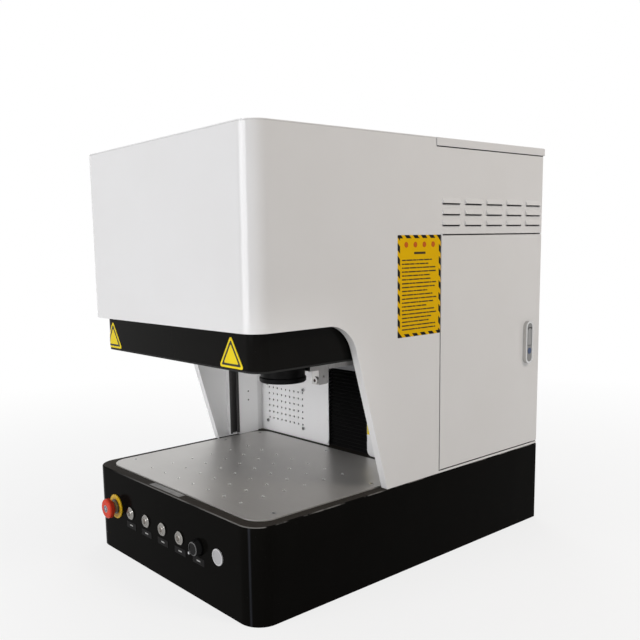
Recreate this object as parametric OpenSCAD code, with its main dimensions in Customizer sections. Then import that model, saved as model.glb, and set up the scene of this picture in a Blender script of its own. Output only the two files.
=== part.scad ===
// Enclosed desktop engraving machine: black base with a drilled work table, white folded hood,
// lifting safety door, height-adjusted scanning head and a rear cabinet with a service door.
// The origin is the centre of the underside, X runs to the right, Y to the back and Z up.

/* [Base] */
// Width of the base and the hood
base_width = 540; // [520:1:600]
// Depth of the base, front to back
base_depth = 800; // [780:1:880]
// Height of the base
base_height = 170; // [150:1:200]
// Radius of the base's front corners
base_corner_radius = 40; // [30:1:48]
// Radius of the bend round the base's top edge
base_bend = 3; // [2.5:0.5:5]
// Thickness of all the folded sheet
sheet = 2; // [1.5:0.1:2.5]

/* [Hood] */
// Height of the front opening, from the base to the hood
opening_height = 310; // [300:1:330]
// Height of the hood above the opening
hood_height = 325; // [320:1:360]
// Set-back of the hood's front from the base's front
hood_setback = 10; // [6:1:12]
// Radius of the hood's front corners
hood_corner_radius = 34; // [30:1:40]
// Distance from the base's front to the foot of the slanted edge
cheek_foot = 312; // [300:1:320]
// Lean of the slanted edge from the vertical, in degrees
cheek_lean = 16.5; // [14:0.5:18]
// Radius where the slanted edge meets the hood's lower edge
cheek_radius = 65; // [50:1:75]
// Width of the flange that runs round the opening
flange_width = 15; // [12:1:15]

/* [Rear cabinet] */
// Distance from the base's front to the service door's front edge
cabinet_front = 460; // [458:1:480]
// Distance from the service door's front edge back to the top lid's front edge
lid_lead = 15; // [10:1:20]
// Height of the top lid's rim
lid_rim = 15; // [12:1:20]
// Height of the service door's cut-out above the base
door_height = 460; // [430:1:470]
// Height of the sill under the service door
door_sill = 4; // [3:0.5:6]
// Gap round the service door
door_gap = 2.5; // [2.5:0.1:3]
// Depth of the service door's folded edge
door_fold = 18; // [16:1:22]

/* [Louvres] */
// Number of louvre columns on a side
louvre_columns = 5; // [3:1:5]
// Number of louvre rows on a side
louvre_rows = 3; // [2:1:3]
// Length of a louvre
louvre_length = 57; // [44:1:58]
// Height of a louvre
louvre_height = 11; // [9:1:13]
// How far a louvre stands out
louvre_depth = 5; // [4:0.5:6]
// Spacing of the columns
louvre_column_pitch = 68.5; // [64:0.5:69]
// Spacing of the rows
louvre_row_pitch = 20; // [18:1:22]

/* [Work table] */
// Rim of the base left beside the table
rim_side = 20; // [18:1:30]
// Rim of the base left in front of the table
rim_front = 22.5; // [18:0.5:30]
// Space between the table and the chamber's back wall
rim_back = 17.5; // [14:0.5:24]
// Thickness of the table plate
table_thickness = 8; // [6:0.5:10]
// How far the table stands above the base
table_proud = 2; // [1:0.5:3]
// Corner radius of the table
table_corner_radius = 38; // [30:1:45]
// Spacing of the tapped holes
hole_pitch = 50; // [45:1:52]
// Diameter of the tapped holes
hole_diameter = 5; // [4:0.5:6]
// Distance from the table's front edge to the first row of holes
hole_first_row = 43.5; // [35:0.5:50]
// Holes across the table
hole_columns = 7; // [5:2:7]
// Holes along the table
hole_rows = 6; // [4:1:6]

/* [Lifting door] */
// Distance from the base's front to the lifting door
shroud_setback = 29; // [29:0.5:34]
// Distance from the hood's side to the lifting door's side
shroud_inset = 18; // [18:0.5:22]
// Height of the lifting door
shroud_height = 327; // [315:1:335]
// Corner radius of the lifting door
shroud_corner_radius = 28; // [24:1:30]
// Clear height under the raised door
raised_height = 244; // [240:1:250]
// Thickness of the rubber seal under the door
seal_height = 3; // [2:0.5:5]
// Width of the door's guide channel
channel_width = 28; // [26:1:32]
// Depth of the guide channel
channel_depth = 12; // [10:0.5:12]

/* [Scanning head] */
// Sideways place of the head from the middle of the base
head_offset = 26; // [20:1:30]
// Distance from the base's front to the lens axis
lens_distance = 274; // [265:1:280]
// Height of the lens above the base
lens_clearance = 177; // [165:1:185]
// Diameter of the lens's lower ring
lens_diameter = 94; // [84:1:96]
// Width of the slot in the back wall
slot_width = 118; // [112:1:122]
// Pleats in the lower bellows
lower_pleats = 22; // [16:1:26]
// Pleats in the upper bellows
upper_pleats = 40; // [30:1:44]

/* [Controls] */
// Height of the row of controls
control_height = 96.5; // [92:0.5:100]
// Distance from the base's left side to the emergency stop
stop_edge = 85.5; // [80:0.5:95]
// Distance from the base's right side to the plug at the row's other end
plug_edge = 100.5; // [95:0.5:110]
// Diameter of the emergency stop's head
stop_head_diameter = 40; // [34:1:44]
// Diameter of the emergency stop's ring
stop_ring_diameter = 49; // [46:1:52]
// Diameter of a push button's bezel
bezel_diameter = 25; // [24:0.5:28]
// Diameter of a push button
button_diameter = 16; // [14:0.5:17]
// Diameter of the turning knob's skirt
knob_diameter = 32; // [28:1:36]
// Length of the turning knob
knob_length = 13; // [11:0.5:18]

/* [Lock] */
// Length of the lock
lock_length = 91; // [86:1:100]
// Width of the lock
lock_width = 26; // [24:1:30]
// How far the lock stands out
lock_depth = 8; // [7:0.5:10]

/* [Hidden] */
$fn = 64;
// One overrun serves all cuts
cut = 1;
// Gap between flat faces that slide past each other
slide_gap = 0.3;
// Radial clearance of a running fit
run_gap = 0.05;
// Diagonal of a square of side one
diagonal = sqrt(2);

// Main planes
side_x = base_width / 2;
inner_x = side_x - sheet;
front_y = -base_depth / 2;
back_y = base_depth / 2;
hood_y = front_y + hood_setback;
deck_z = base_height;
hood_z = deck_z + opening_height;
top_z = hood_z + hood_height;
roof_z = top_z - sheet;
seam_y = front_y + cabinet_front;
lid_y = seam_y - lid_lead;
wall_setback = 5;
wall_y = seam_y - wall_setback;
rear_y = back_y - sheet;

// Louvre field
louvre_rise = 17;
louvre_margin = 6;
louvre_gap = 2;

// Work table and its screws
table_gap = 1;
table_x = side_x - rim_side;
table_front = front_y + rim_front;
table_back = wall_y - rim_back;
table_depth = table_back - table_front;
table_top = deck_z + table_proud;
table_under = table_top - table_thickness;
screw_row_shares = [0.124, 0.7, 0.948];
screw_edge = 20;
screw_shank_radius = 2.5;
screw_head_radius = 5;
screw_length = 15;
screw_slack = 0.1;
bearer_side = 20;
screw_rows = [for (share = screw_row_shares) table_front + share * table_depth];
screw_places = concat(
    [for (y = screw_rows) for (side = [-1, 1]) [side * (table_x - screw_edge), y]],
    [[0, screw_rows[len(screw_rows) - 1]]]);
hole_places = [for (i = [0 : hole_columns - 1]) for (j = [0 : hole_rows - 1])
    [(i - (hole_columns - 1) / 2) * hole_pitch, table_front + hole_first_row + j * hole_pitch]];

// Slanted opening: tangent points and arc centre, in the side view
foot_y = front_y + cheek_foot;
lean_run = opening_height * tan(cheek_lean);
corner_y = foot_y - lean_run;
corner_tangent = cheek_radius * tan((90 - cheek_lean) / 2);
arc_y = corner_y - corner_tangent;
arc_z = hood_z - cheek_radius;

// Chamber's back wall and the slot for the head's arm
slot_left = head_offset - slot_width / 2;
slot_right = head_offset + slot_width / 2;
cover_margin = 10;
cover_side = 3;
cover_corner = 12;
cover_foot = 2;
cover_top = hood_z - cover_margin;
vent_columns = 9;
vent_rows = 6;
vent_pitch = 15;
vent_radius = 2.5;
vent_edge = 21.5;
vent_rise = 71;
cover_left = cover_margin - inner_x;
cover_right = slot_left + cover_side;
vent_x = cover_left + vent_edge + (vent_columns - 1) / 2 * vent_pitch;
vent_z = deck_z + vent_rise;
cover_screw_radius = 4;
cover_screw_head = 3;
cover_screw_x = 64;
cover_screw_z = 45.5;
cover_screws_at = [for (i = [-1, 1]) for (j = [-1, 1])
    [vent_x + i * cover_screw_x, vent_z + j * cover_screw_z]];

// Lifting door, its channels, sliders and cylinders
shroud_x = side_x - shroud_inset;
shroud_front = front_y + shroud_setback;
seal_z = deck_z + raised_height;
shroud_z = seal_z + seal_height;
shroud_top = shroud_z + shroud_height;
channel_setback = 49;
channel_y = foot_y + channel_setback;
channel_wall = 2;
channel_slot = channel_width / 2;
channel_lift = 5;
channel_z = deck_z + channel_lift;
shroud_back = channel_y + channel_width / 2;
post_gap = 2;
post_front = channel_y + channel_width / 2 + post_gap;
post_clear = 22;
post_step = 2;
post_back = wall_y - post_clear;
post_depth = channel_depth - post_step;
post_screw_radius = 2;
post_screw_height = 80;
post_screw_pitch = 21;
slider_height = 60;
slider_margin = 20;
cylinder_inset = 27;
cylinder_lead = 31;
cylinder_x = shroud_x - cylinder_inset;
cylinder_y = channel_y - cylinder_lead;
cylinder_radius = 17;
bore_radius = 14;
cylinder_cap = 10;
cylinder_head = 8;
cylinder_rise = 45;
cylinder_foot = hood_z + cylinder_rise;
rod_radius = 5;
piston_height = 10;
arm_height = 6;
arm_drop = 25;

// Height axis behind the back wall
bellows_depth = 12;
bellows_clear = 2;
bellows_wall = 1.2;
carriage_z = deck_z + lens_clearance;
carriage_height = 106;
carriage_plate = 12;
carriage_y = wall_y + bellows_depth + bellows_clear;
carriage_back = carriage_y + carriage_plate;
block_depth = 16;
block_width = 26;
block_height = 40;
rail_width = 12;
rail_depth = 10;
rail_spread = 38;
column_y = carriage_back + block_depth + bellows_clear;
column_plate = 10;
column_half = 60;
motor_room = 90;
column_top = roof_z - motor_room;
screw_radius = 6;
screw_y = (carriage_back + column_y) / 2;
bearing_half = 15;
bearing_height = 16;
motor_side = 42;
motor_height = 66;
motor_plate = 8;
motor_chamfer = 4;
motor_half = 30;

// Scanning head
lens_y = front_y + lens_distance;
lens_z = deck_z + lens_clearance;
lens_height = 46;
lens_barrel_share = 0.955;
lens_ring_height = 9;
lens_flange = 6;
glass_radius_share = 0.8;
glass_sink = 3;
arm_half = 30;
arm_thick = 18;
arm_rise = 16;
arm_z = lens_z + arm_rise;
galvo_half = 48;
galvo_length = 110;
galvo_height = 96;
galvo_z = lens_z + lens_height;
galvo_edge = 6;
galvo_lid = 3;
tube_radius = 20;
tube_rise = 34;
bracket_width = 22;
bracket_depth = 26;
bracket_height = 34;
bracket_reach = 98;
bracket_shift = 4;
bracket_corner = 6;
bracket_screw_radius = 2.5;
bracket_screw_depth = 3;
bracket_x = head_offset + bracket_shift;
bracket_y = lens_y + bracket_reach;
bracket_front = bracket_y - bracket_depth / 2;
pointer_radius = 8;
pointer_length = 4;
pointer_shift = 2;
pointer_drop = 25;
pointer_bore_share = 0.45;

// Exhaust fan, duct and outlet
fan_side = 120;
fan_depth = 32;
fan_radius = 57;
fan_hub = 20;
fan_blades = 7;
fan_strut = 5;
fan_pin = 2;
blade_gap = 2.5;
blade_thick = 2;
blade_angle = 38;
duct_radius = 57;
outlet_radius = 56;
outlet_rings = 4;
outlet_bar = 3;
outlet_rim = 8;

// Rear panel, inlet and the boxes inside
inlet_width = 30;
inlet_height = 48;
inlet_flange = 6;
inlet_depth = 24;
inlet_side = 118;
inlet_x = inner_x - inlet_side;
inlet_rise = 60;
inlet_z = deck_z + inlet_rise;
source_height = 110;
source_side = 36;
source_back = 60;
source_duct_room = 99.5;
source_column_room = 49;
source_left = vent_x + duct_radius + sheet + source_duct_room;
source_right = inner_x - source_side;
source_front = column_y + column_plate + source_column_room;
source_rear = rear_y - source_back;
source_fin = 4;
source_fins = 14;
source_fin_height = 14;
supply_size = [115, 215, 50];
control_size = [180, 150, 60];
box_spread = 110;
box_lip = 6;

// Controls on the front
control_spaces = 6;
control_pitch = (base_width - stop_edge - plug_edge) / control_spaces;
stop_x = stop_edge - side_x;
button_x = [for (i = [1 : 4]) stop_x + i * control_pitch];
knob_x = stop_x + (control_spaces - 1) * control_pitch;
plug_x = side_x - plug_edge;
stop_ring = 3;
stop_seat_radius = 15;
stop_seat = 1.2;
stop_collar_radius = 12;
stop_collar = 8;
stop_barrel_radius = 11;
stop_barrel = 34;
stop_stem_radius = 8;
stop_stroke = 4;
stop_head = 13;
stop_dome = 4;
stop_block = 30;
barrel_radius = 11;
barrel_length = 28;
bezel_height = 4;
bezel_chamfer = 1.5;
button_stroke = 2;
button_proud = 1;
button_stem_radius = 5;
knob_front_share = 0.8;
knob_lip = 2;
knob_edge = 1.2;
knob_dish = 0.8;
knob_nose_radius = 3.2;
knob_nose_reach = 16;
knob_nose_length = 5;
knob_nose_angle = 222;
knob_bush = 5;
knob_gap = 0.6;
plug_radius = 14.5;
plug_height = 2;
plug_hole = 11;
plug_rim = 2.2;
plug_dish = 0.7;

// Service door, its hinge and lock
door_top = deck_z + door_height;
leaf_y = seam_y + door_gap;
leaf_bottom = deck_z + door_sill + door_gap;
leaf_top = door_top - door_gap;
pin_radius = 3;
pin_length = 14;
pin_edge = 1;
hinge_x = inner_x - pin_edge - run_gap - pin_radius;
hinge_y = leaf_y + sheet + pin_edge + run_gap + pin_radius;
lock_inset = 47.5;
lock_rise = 229.5;
lock_y = back_y - lock_inset;
lock_z = deck_z + lock_rise;
lock_floor = 2;
handle_width_share = 0.6;
handle_top_share = 0.35;
handle_foot_share = -0.07;
button_share = -0.2;
lock_button_radius = 6.5;
lock_button_stroke = 2;
handle_gap = 0.8;
cam_length = 30;
cam_thick = 3;
cam_radius = 8;

white = [0.90, 0.90, 0.89];
black = [0.06, 0.06, 0.06];
steel = [0.66, 0.66, 0.67];
silver = [0.80, 0.81, 0.82];
dark = [0.22, 0.22, 0.23];

// A block between two opposite corners
module block(low, high) {
    translate(low)
        cube(high - low);
}

// Its children, and their mirror image on the other side of the machine
module both_sides() {
    children();
    mirror([1, 0, 0])
        children();
}

// Outline in plan: straight sides and back, two rounded front corners
module plan(half, front, back, radius) {
    translate([-half, front + radius])
        square([2 * half, back - front - radius]);
    translate([-half + radius, front])
        square([2 * (half - radius), back - front]);
    for (side = [-1, 1])
        translate([side * (half - radius), front + radius])
            circle(radius);
}

// Outline of a rectangle with four rounded corners, about its centre
module round_rect(width, depth, radius) {
    square([width - 2 * radius, depth], center = true);
    square([width, depth - 2 * radius], center = true);
    for (x = [-1, 1])
        for (y = [-1, 1])
            translate([x * (width / 2 - radius), y * (depth / 2 - radius)])
                circle(radius);
}

// A slot's outline: two half circles joined by straight sides, upright
module slot_outline(width, length) {
    square([width, length - width], center = true);
    for (end = [-1, 1])
        translate([0, end * (length - width) / 2])
            circle(width / 2);
}

// Sweeps a side view, drawn as depth and height, from one sideways place to another
module across(from, to) {
    translate([from, 0, 0])
        rotate([90, 0, 90])
            linear_extrude(to - from)
                children();
}

// Sweeps a front view, drawn as width and height, from one depth towards the back
module backwards(from, length) {
    translate([0, from + length, 0])
        rotate([90, 0, 0])
            linear_extrude(length)
                children();
}

// A round bar that runs towards the back
module bar(x, y, z, radius, length) {
    translate([x, y, z])
        rotate([-90, 0, 0])
            cylinder(h = length, r = radius);
}

// Side view of the opening, grown by a margin: hood edge, rounded corner and slanted edge
module opening_outline(margin) {
    reach = cheek_radius + margin;
    far_y = front_y - cut;
    low_z = deck_z - cut;
    slant_top = [arc_y + reach * cos(cheek_lean), arc_z + reach * sin(cheek_lean)];
    slant_foot = slant_top[0] + (slant_top[1] - low_z) * tan(cheek_lean);
    polygon([
        [far_y, low_z],
        [slant_foot, low_z],
        slant_top,
        [arc_y, arc_z + reach],
        [far_y, arc_z + reach]]);
    translate([arc_y, arc_z])
        circle(reach);
}

// Section across a bent edge: a rectangle whose upper outer corner is rounded
module bend_section(width, height, bend) {
    square([width - bend, height]);
    square([width, height - bend]);
    translate([width - bend, height - bend])
        circle(bend);
}

// A block with two rounded front corners and a bend along the top of its front and sides
module bent_block(half, front, back, radius, height, bend) {
    across(radius - half, half - radius)
        translate([back, 0])
            mirror([1, 0])
                bend_section(back - front, height, bend);
    both_sides() {
        backwards(front + radius, back - front - radius)
            translate([half - radius, 0])
                bend_section(radius, height, bend);
        translate([half - radius, front + radius, 0])
            rotate(-90)
                rotate_extrude(angle = 90)
                    bend_section(radius, height, bend);
    }
}

// Base housing: folded walls and deck in one piece, with the control holes
module base_housing() {
    color(black)
        difference() {
            bent_block(side_x, front_y, back_y, base_corner_radius, base_height, base_bend);
            translate([0, 0, -cut])
                linear_extrude(base_height - sheet + cut)
                    plan(inner_x, front_y + sheet, rear_y, base_corner_radius - sheet);
            translate([0, (table_front + table_back) / 2, 0])
                linear_extrude(base_height + cut)
                    round_rect(2 * table_x + 2 * table_gap, table_depth + 2 * table_gap,
                        table_corner_radius + table_gap);
            bar(stop_x, front_y - cut, control_height, stop_barrel_radius + run_gap, sheet + 2 * cut);
            for (x = button_x)
                bar(x, front_y - cut, control_height, barrel_radius + run_gap, sheet + 2 * cut);
            bar(knob_x, front_y - cut, control_height, knob_bush, sheet + 2 * cut);
            bar(plug_x, front_y - cut, control_height, plug_hole, sheet + 2 * cut);
        }
}

module base_floor() {
    color(dark)
        linear_extrude(sheet)
            plan(inner_x, front_y + sheet, rear_y, base_corner_radius - sheet);
}

// Work table: a plate with tapped holes and countersunk fixing holes
module work_table() {
    color(silver)
        difference() {
            translate([0, (table_front + table_back) / 2, table_under])
                linear_extrude(table_thickness)
                    round_rect(2 * table_x, table_depth, table_corner_radius);
            for (place = hole_places)
                translate([place[0], place[1], table_under - cut])
                    cylinder(h = table_thickness + 2 * cut, r = hole_diameter / 2);
            for (place = screw_places)
                translate([place[0], place[1], table_top])
                    screw_shape(screw_slack, table_thickness + cut);
        }
}

// A countersunk screw, its top face at the origin, grown by a slack
module screw_shape(slack, length) {
    head_height = screw_head_radius - screw_shank_radius;
    translate([0, 0, -length])
        cylinder(h = length, r = screw_shank_radius + slack);
    translate([0, 0, -head_height])
        cylinder(h = head_height, r1 = screw_shank_radius + slack, r2 = screw_head_radius + slack);
}

module table_screws() {
    color(steel)
        for (place = screw_places)
            translate([place[0], place[1], table_top])
                screw_shape(0, screw_length);
}

// Square tubes under the table, from wall to wall
module table_bearers() {
    tube_wall = bearer_side - 2 * sheet;
    color(dark)
        for (y = screw_rows)
            difference() {
                block([-inner_x, y - bearer_side / 2, table_under - bearer_side],
                    [inner_x, y + bearer_side / 2, table_under]);
                block([-inner_x - cut, y - tube_wall / 2, table_under - bearer_side + sheet],
                    [inner_x + cut, y + tube_wall / 2, table_under - sheet]);
                for (place = screw_places)
                    if (place[1] == y)
                        translate([place[0], y, table_under - 2 * sheet])
                            cylinder(h = 2 * sheet + cut, r = screw_shank_radius + screw_slack);
            }
}

// Hood: front and both sides in one folded sheet, cut away at the front opening and at the
// service door, with a flange that follows the whole edge of the opening
module hood_shell() {
    rise = roof_z - deck_z;
    color(white)
        difference() {
            union() {
                difference() {
                    translate([0, 0, deck_z])
                        linear_extrude(rise)
                            hood_wall(sheet);
                    across(-side_x - cut, side_x + cut)
                        opening_outline(0);
                }
                intersection() {
                    translate([0, 0, deck_z])
                        linear_extrude(rise)
                            hood_wall(flange_width);
                    across(-side_x - cut, side_x + cut)
                        difference() {
                            opening_outline(sheet);
                            opening_outline(0);
                        }
                }
                block([side_x - door_fold - sheet, seam_y, door_top],
                    [side_x - sheet / 2, rear_y, door_top + sheet]);
            }
            block([inner_x - cut, seam_y, deck_z + door_sill],
                [side_x + cut, back_y + cut, door_top]);
            louvre_places()
                louvre_slot();
        }
}

// Plan of the hood's wall to a depth: open at the back
module hood_wall(depth) {
    difference() {
        plan(side_x, hood_y, back_y, hood_corner_radius);
        plan(side_x - depth, hood_y + depth, back_y + cut, hood_corner_radius - depth);
    }
}

module hood_top() {
    color(white)
        translate([0, 0, roof_z])
            linear_extrude(sheet)
                plan(side_x, hood_y, lid_y, hood_corner_radius);
}

// Places of the louvres on both sides, each at the lower front corner of its louvre
module louvre_places() {
    first_y = back_y - louvre_margin - louvre_length - (louvre_columns - 1) * louvre_column_pitch;
    first_z = deck_z + door_height + louvre_rise;
    both_sides()
        for (i = [0 : louvre_columns - 1])
            for (j = [0 : louvre_rows - 1])
                translate([side_x, first_y + i * louvre_column_pitch, first_z + j * louvre_row_pitch])
                    children();
}

// A pressed louvre: a wedge with sloped ends, open below
module louvre_wedge(depth, length, height) {
    intersection() {
        backwards(0, length)
            polygon([[0, 0], [depth, 0], [0, height]]);
        linear_extrude(height)
            polygon([[0, 0], [depth, depth / 2], [depth, length - depth / 2], [0, length]]);
    }
}

module louvre() {
    wall = sheet / 2;
    difference() {
        louvre_wedge(louvre_depth, louvre_length, louvre_height);
        translate([-wall, wall, -wall])
            louvre_wedge(louvre_depth, louvre_length - 2 * wall, louvre_height);
    }
}

// The slot that a louvre covers
module louvre_slot() {
    inset = louvre_depth / 2;
    block([-sheet - cut, inset, -louvre_gap], [cut, louvre_length - inset, louvre_height / 2]);
}

module vent_louvres() {
    color(white)
        louvre_places()
            louvre();
}

// Lid over the rear cabinet: a flat pan whose rim hangs outside the walls
module top_lid() {
    rim_x = side_x + slide_gap;
    rim_y = back_y + slide_gap;
    color(white)
        difference() {
            block([-rim_x - sheet, lid_y + slide_gap, top_z - lid_rim],
                [rim_x + sheet, rim_y + sheet, top_z]);
            block([-rim_x, lid_y - cut, top_z - lid_rim - cut], [rim_x, rim_y, roof_z]);
        }
}

// Rear panel with the air outlet and the mains inlet's cut-out
module rear_panel() {
    color(white)
        difference() {
            block([-inner_x, rear_y, deck_z], [inner_x, back_y, roof_z]);
            block([inner_x - slide_gap, rear_y - cut, deck_z - cut], [side_x, back_y + cut, door_top]);
            bar(vent_x, rear_y - cut, vent_z, outlet_radius, sheet + 2 * cut);
            backwards(rear_y - cut, sheet + 2 * cut)
                translate([inlet_x, inlet_z])
                    square([inlet_width, inlet_height], center = true);
        }
}

// Left half of the chamber's back wall, open behind the exhaust cover
module back_wall_left() {
    color(white)
        difference() {
            block([-inner_x, wall_y, deck_z], [slot_left, wall_y + sheet, roof_z]);
            bar(vent_x, wall_y - cut, vent_z, fan_radius, sheet + 2 * cut);
        }
}

// Right half of the chamber's back wall, with a rounded foot beside the slot
module back_wall_right() {
    color(white)
        backwards(wall_y, sheet)
            difference() {
                translate([slot_right, deck_z])
                    square([inner_x - slot_right, roof_z - deck_z]);
                translate([slot_right, deck_z])
                    difference() {
                        square(2 * cover_corner, center = true);
                        translate([cover_corner, cover_corner])
                            circle(cover_corner);
                    }
            }
}

// Perforated exhaust cover with rounded corners
module exhaust_cover() {
    width = cover_right - cover_left;
    height = cover_top - deck_z - cover_foot;
    color(white)
        difference() {
            backwards(wall_y - sheet, sheet)
                translate([cover_left + width / 2, deck_z + cover_foot + height / 2])
                    round_rect(width, height, cover_corner);
            for (i = [0 : vent_columns - 1])
                for (j = [0 : vent_rows - 1])
                    bar(vent_x + (i - (vent_columns - 1) / 2) * vent_pitch, wall_y - sheet - cut,
                        vent_z + (j - (vent_rows - 1) / 2) * vent_pitch, vent_radius, sheet + 2 * cut);
        }
}

module cover_screws() {
    color(steel)
        for (place = cover_screws_at)
            bar(place[0], wall_y - sheet - cover_screw_head, place[1], cover_screw_radius,
                cover_screw_head);
}

// Guide channels for the lifting door, open towards the chamber
module door_rails() {
    color(dark)
        both_sides()
            translate([0, 0, channel_z])
                linear_extrude(roof_z - channel_z)
                    difference() {
                        translate([inner_x - channel_depth, channel_y - channel_width / 2])
                            square([channel_depth, channel_width]);
                        translate([inner_x - channel_depth + channel_wall,
                                channel_y - channel_width / 2 + channel_wall])
                            square([channel_depth - 2 * channel_wall, channel_width - 2 * channel_wall]);
                        translate([inner_x - channel_depth - cut, channel_y - channel_slot / 2])
                            square([channel_depth - channel_wall, channel_slot]);
                    }
}

// Folded posts behind the channels, each with two small fixing holes
module rail_posts() {
    color(white)
        both_sides()
            difference() {
                block([inner_x - post_depth, post_front, deck_z], [inner_x, post_back, roof_z]);
                block([inner_x - post_depth + sheet, post_front + sheet, deck_z - cut],
                    [inner_x + cut, post_back - sheet, roof_z + cut]);
                for (i = [0, 1])
                    translate([inner_x - post_depth - cut, (post_front + post_back) / 2,
                            deck_z + post_screw_height + i * post_screw_pitch])
                        rotate([0, 90, 0])
                            cylinder(h = sheet + 2 * cut, r = post_screw_radius);
            }
}

// Air cylinders that lift the door, hung from the hood's top
module lift_cylinders() {
    color(silver)
        both_sides()
            translate([cylinder_x, cylinder_y, 0])
                difference() {
                    union() {
                        translate([0, 0, cylinder_foot])
                            cylinder(h = roof_z - cylinder_head - cylinder_foot, r = cylinder_radius);
                        translate([0, 0, roof_z - cylinder_head])
                            linear_extrude(cylinder_head)
                                square(2 * cylinder_radius, center = true);
                        translate([0, 0, cylinder_foot])
                            linear_extrude(cylinder_cap)
                                square(2 * cylinder_radius, center = true);
                    }
                    translate([0, 0, cylinder_foot + cylinder_cap])
                        cylinder(h = roof_z - cylinder_head - cylinder_cap - cylinder_foot,
                            r = bore_radius);
                    translate([0, 0, cylinder_foot - cut])
                        cylinder(h = cylinder_cap + 2 * cut, r = rod_radius + run_gap);
                }
}

// Lifting door: one folded sheet round the front and both sides
module door_shroud() {
    color(black)
        translate([0, 0, shroud_z])
            linear_extrude(shroud_height)
                shroud_wall(sheet);
}

module shroud_wall(depth) {
    difference() {
        plan(shroud_x, shroud_front, shroud_back, shroud_corner_radius);
        plan(shroud_x - depth, shroud_front + depth, shroud_back + cut, shroud_corner_radius - depth);
    }
}

module door_seal() {
    color(black)
        translate([0, 0, seal_z])
            linear_extrude(seal_height)
                shroud_wall(sheet);
}

// Sliders of the lifting door: a shoe in the channel and a neck through its slot
module door_sliders() {
    shoe_front = inner_x - channel_depth + channel_wall + slide_gap;
    shoe_half = channel_width / 2 - channel_wall - slide_gap;
    neck_half = channel_slot / 2 - slide_gap;
    color(steel)
        both_sides()
            for (z = [shroud_z + slider_margin, shroud_top - slider_margin - slider_height]) {
                block([shoe_front, channel_y - shoe_half, z],
                    [inner_x - channel_wall - slide_gap, channel_y + shoe_half, z + slider_height]);
                block([shroud_x, channel_y - neck_half, z],
                    [shoe_front, channel_y + neck_half, z + slider_height]);
            }
}

// Piston rods, each with its piston and the arm that carries the lifting door
module lift_rods() {
    piston_z = roof_z - cylinder_head - piston_height - 2 * slide_gap;
    arm_top = cylinder_foot - arm_drop;
    arm_reach = cylinder_radius / 2;
    color(silver)
        both_sides() {
            translate([cylinder_x, cylinder_y, arm_top - arm_height])
                cylinder(h = piston_z - arm_top + arm_height, r = rod_radius);
            translate([cylinder_x, cylinder_y, piston_z])
                cylinder(h = piston_height, r = bore_radius - slide_gap);
            block([cylinder_x - arm_reach, cylinder_y - arm_reach, arm_top - arm_height],
                [shroud_x - sheet, cylinder_y + arm_reach, arm_top]);
        }
}

// Column of the height axis: plate, lower bearing and motor bracket
module z_column() {
    color(steel)
        difference() {
            union() {
                block([head_offset - column_half, column_y, deck_z],
                    [head_offset + column_half, column_y + column_plate, column_top]);
                block([head_offset - bearing_half, carriage_back + bellows_clear, deck_z],
                    [head_offset + bearing_half, column_y, deck_z + bearing_height]);
                block([head_offset - motor_half, carriage_y, column_top],
                    [head_offset + motor_half, column_y + column_plate, column_top + motor_plate]);
            }
            translate([head_offset, screw_y, deck_z + bearing_height / 2])
                cylinder(h = column_top + motor_plate, r = screw_radius + run_gap);
        }
}

module z_rails() {
    color(silver)
        for (side = [-1, 1])
            translate([head_offset + side * rail_spread, 0, 0])
                block([-rail_width / 2, column_y - rail_depth, deck_z + bearing_height],
                    [rail_width / 2, column_y, column_top]);
}

// Lead screw, standing in its lower bearing
module z_screw() {
    foot = deck_z + bearing_height / 2;
    color(silver)
        translate([head_offset, screw_y, foot])
            cylinder(h = column_top + motor_plate - slide_gap - foot, r = screw_radius);
}

// Stepping motor with chamfered corners
module z_motor() {
    color(dark)
        translate([head_offset, screw_y, column_top + motor_plate])
            linear_extrude(motor_height)
                intersection() {
                    square(motor_side, center = true);
                    rotate(45)
                        square((motor_side - motor_chamfer) * diagonal, center = true);
                }
}

// Carriage: a machined block that fills the slot, a plate behind it and the screw's nut
module z_carriage() {
    plate_half = rail_spread + block_width / 2;
    color(silver)
        difference() {
            union() {
                block([slot_left + bellows_clear, wall_y, carriage_z],
                    [slot_right - bellows_clear, carriage_y, carriage_z + carriage_height]);
                block([head_offset - plate_half, carriage_y, carriage_z],
                    [head_offset + plate_half, carriage_back, carriage_z + carriage_height]);
                block([head_offset - bearing_half, carriage_back, carriage_z + carriage_height / 3],
                    [head_offset + bearing_half, column_y - bellows_clear,
                        carriage_z + carriage_height * 2 / 3]);
            }
            translate([head_offset, screw_y, carriage_z])
                cylinder(h = carriage_height, r = screw_radius + run_gap);
        }
}

// Bearing blocks that grip the rails
module z_blocks() {
    color(dark)
        for (side = [-1, 1])
            for (z = [carriage_z, carriage_z + carriage_height - block_height])
                translate([head_offset + side * rail_spread, 0, z])
                    difference() {
                        block([-block_width / 2, carriage_back, 0],
                            [block_width / 2, column_y - bellows_clear, block_height]);
                        block([-rail_width / 2 - slide_gap, column_y - rail_depth - slide_gap, -cut],
                            [rail_width / 2 + slide_gap, column_y, block_height + cut]);
                    }
}

// Arm from the carriage to the scanning head
module head_arm() {
    color(silver)
        block([head_offset - arm_half, lens_y + galvo_half, arm_z],
            [head_offset + arm_half, wall_y, arm_z + arm_thick]);
}

// Beam tube between the carriage and the scanning head, on two saddles
module beam_tube() {
    tube_z = arm_z + arm_thick + tube_rise;
    length = wall_y - lens_y - galvo_half;
    saddle = tube_radius / 2;
    color(black) {
        bar(head_offset, lens_y + galvo_half, tube_z, tube_radius, length);
        for (y = [lens_y + galvo_half + saddle, wall_y - 3 * saddle])
            block([head_offset - tube_radius, y, arm_z + arm_thick],
                [head_offset + tube_radius, y + 2 * saddle, tube_z]);
    }
}

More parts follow.
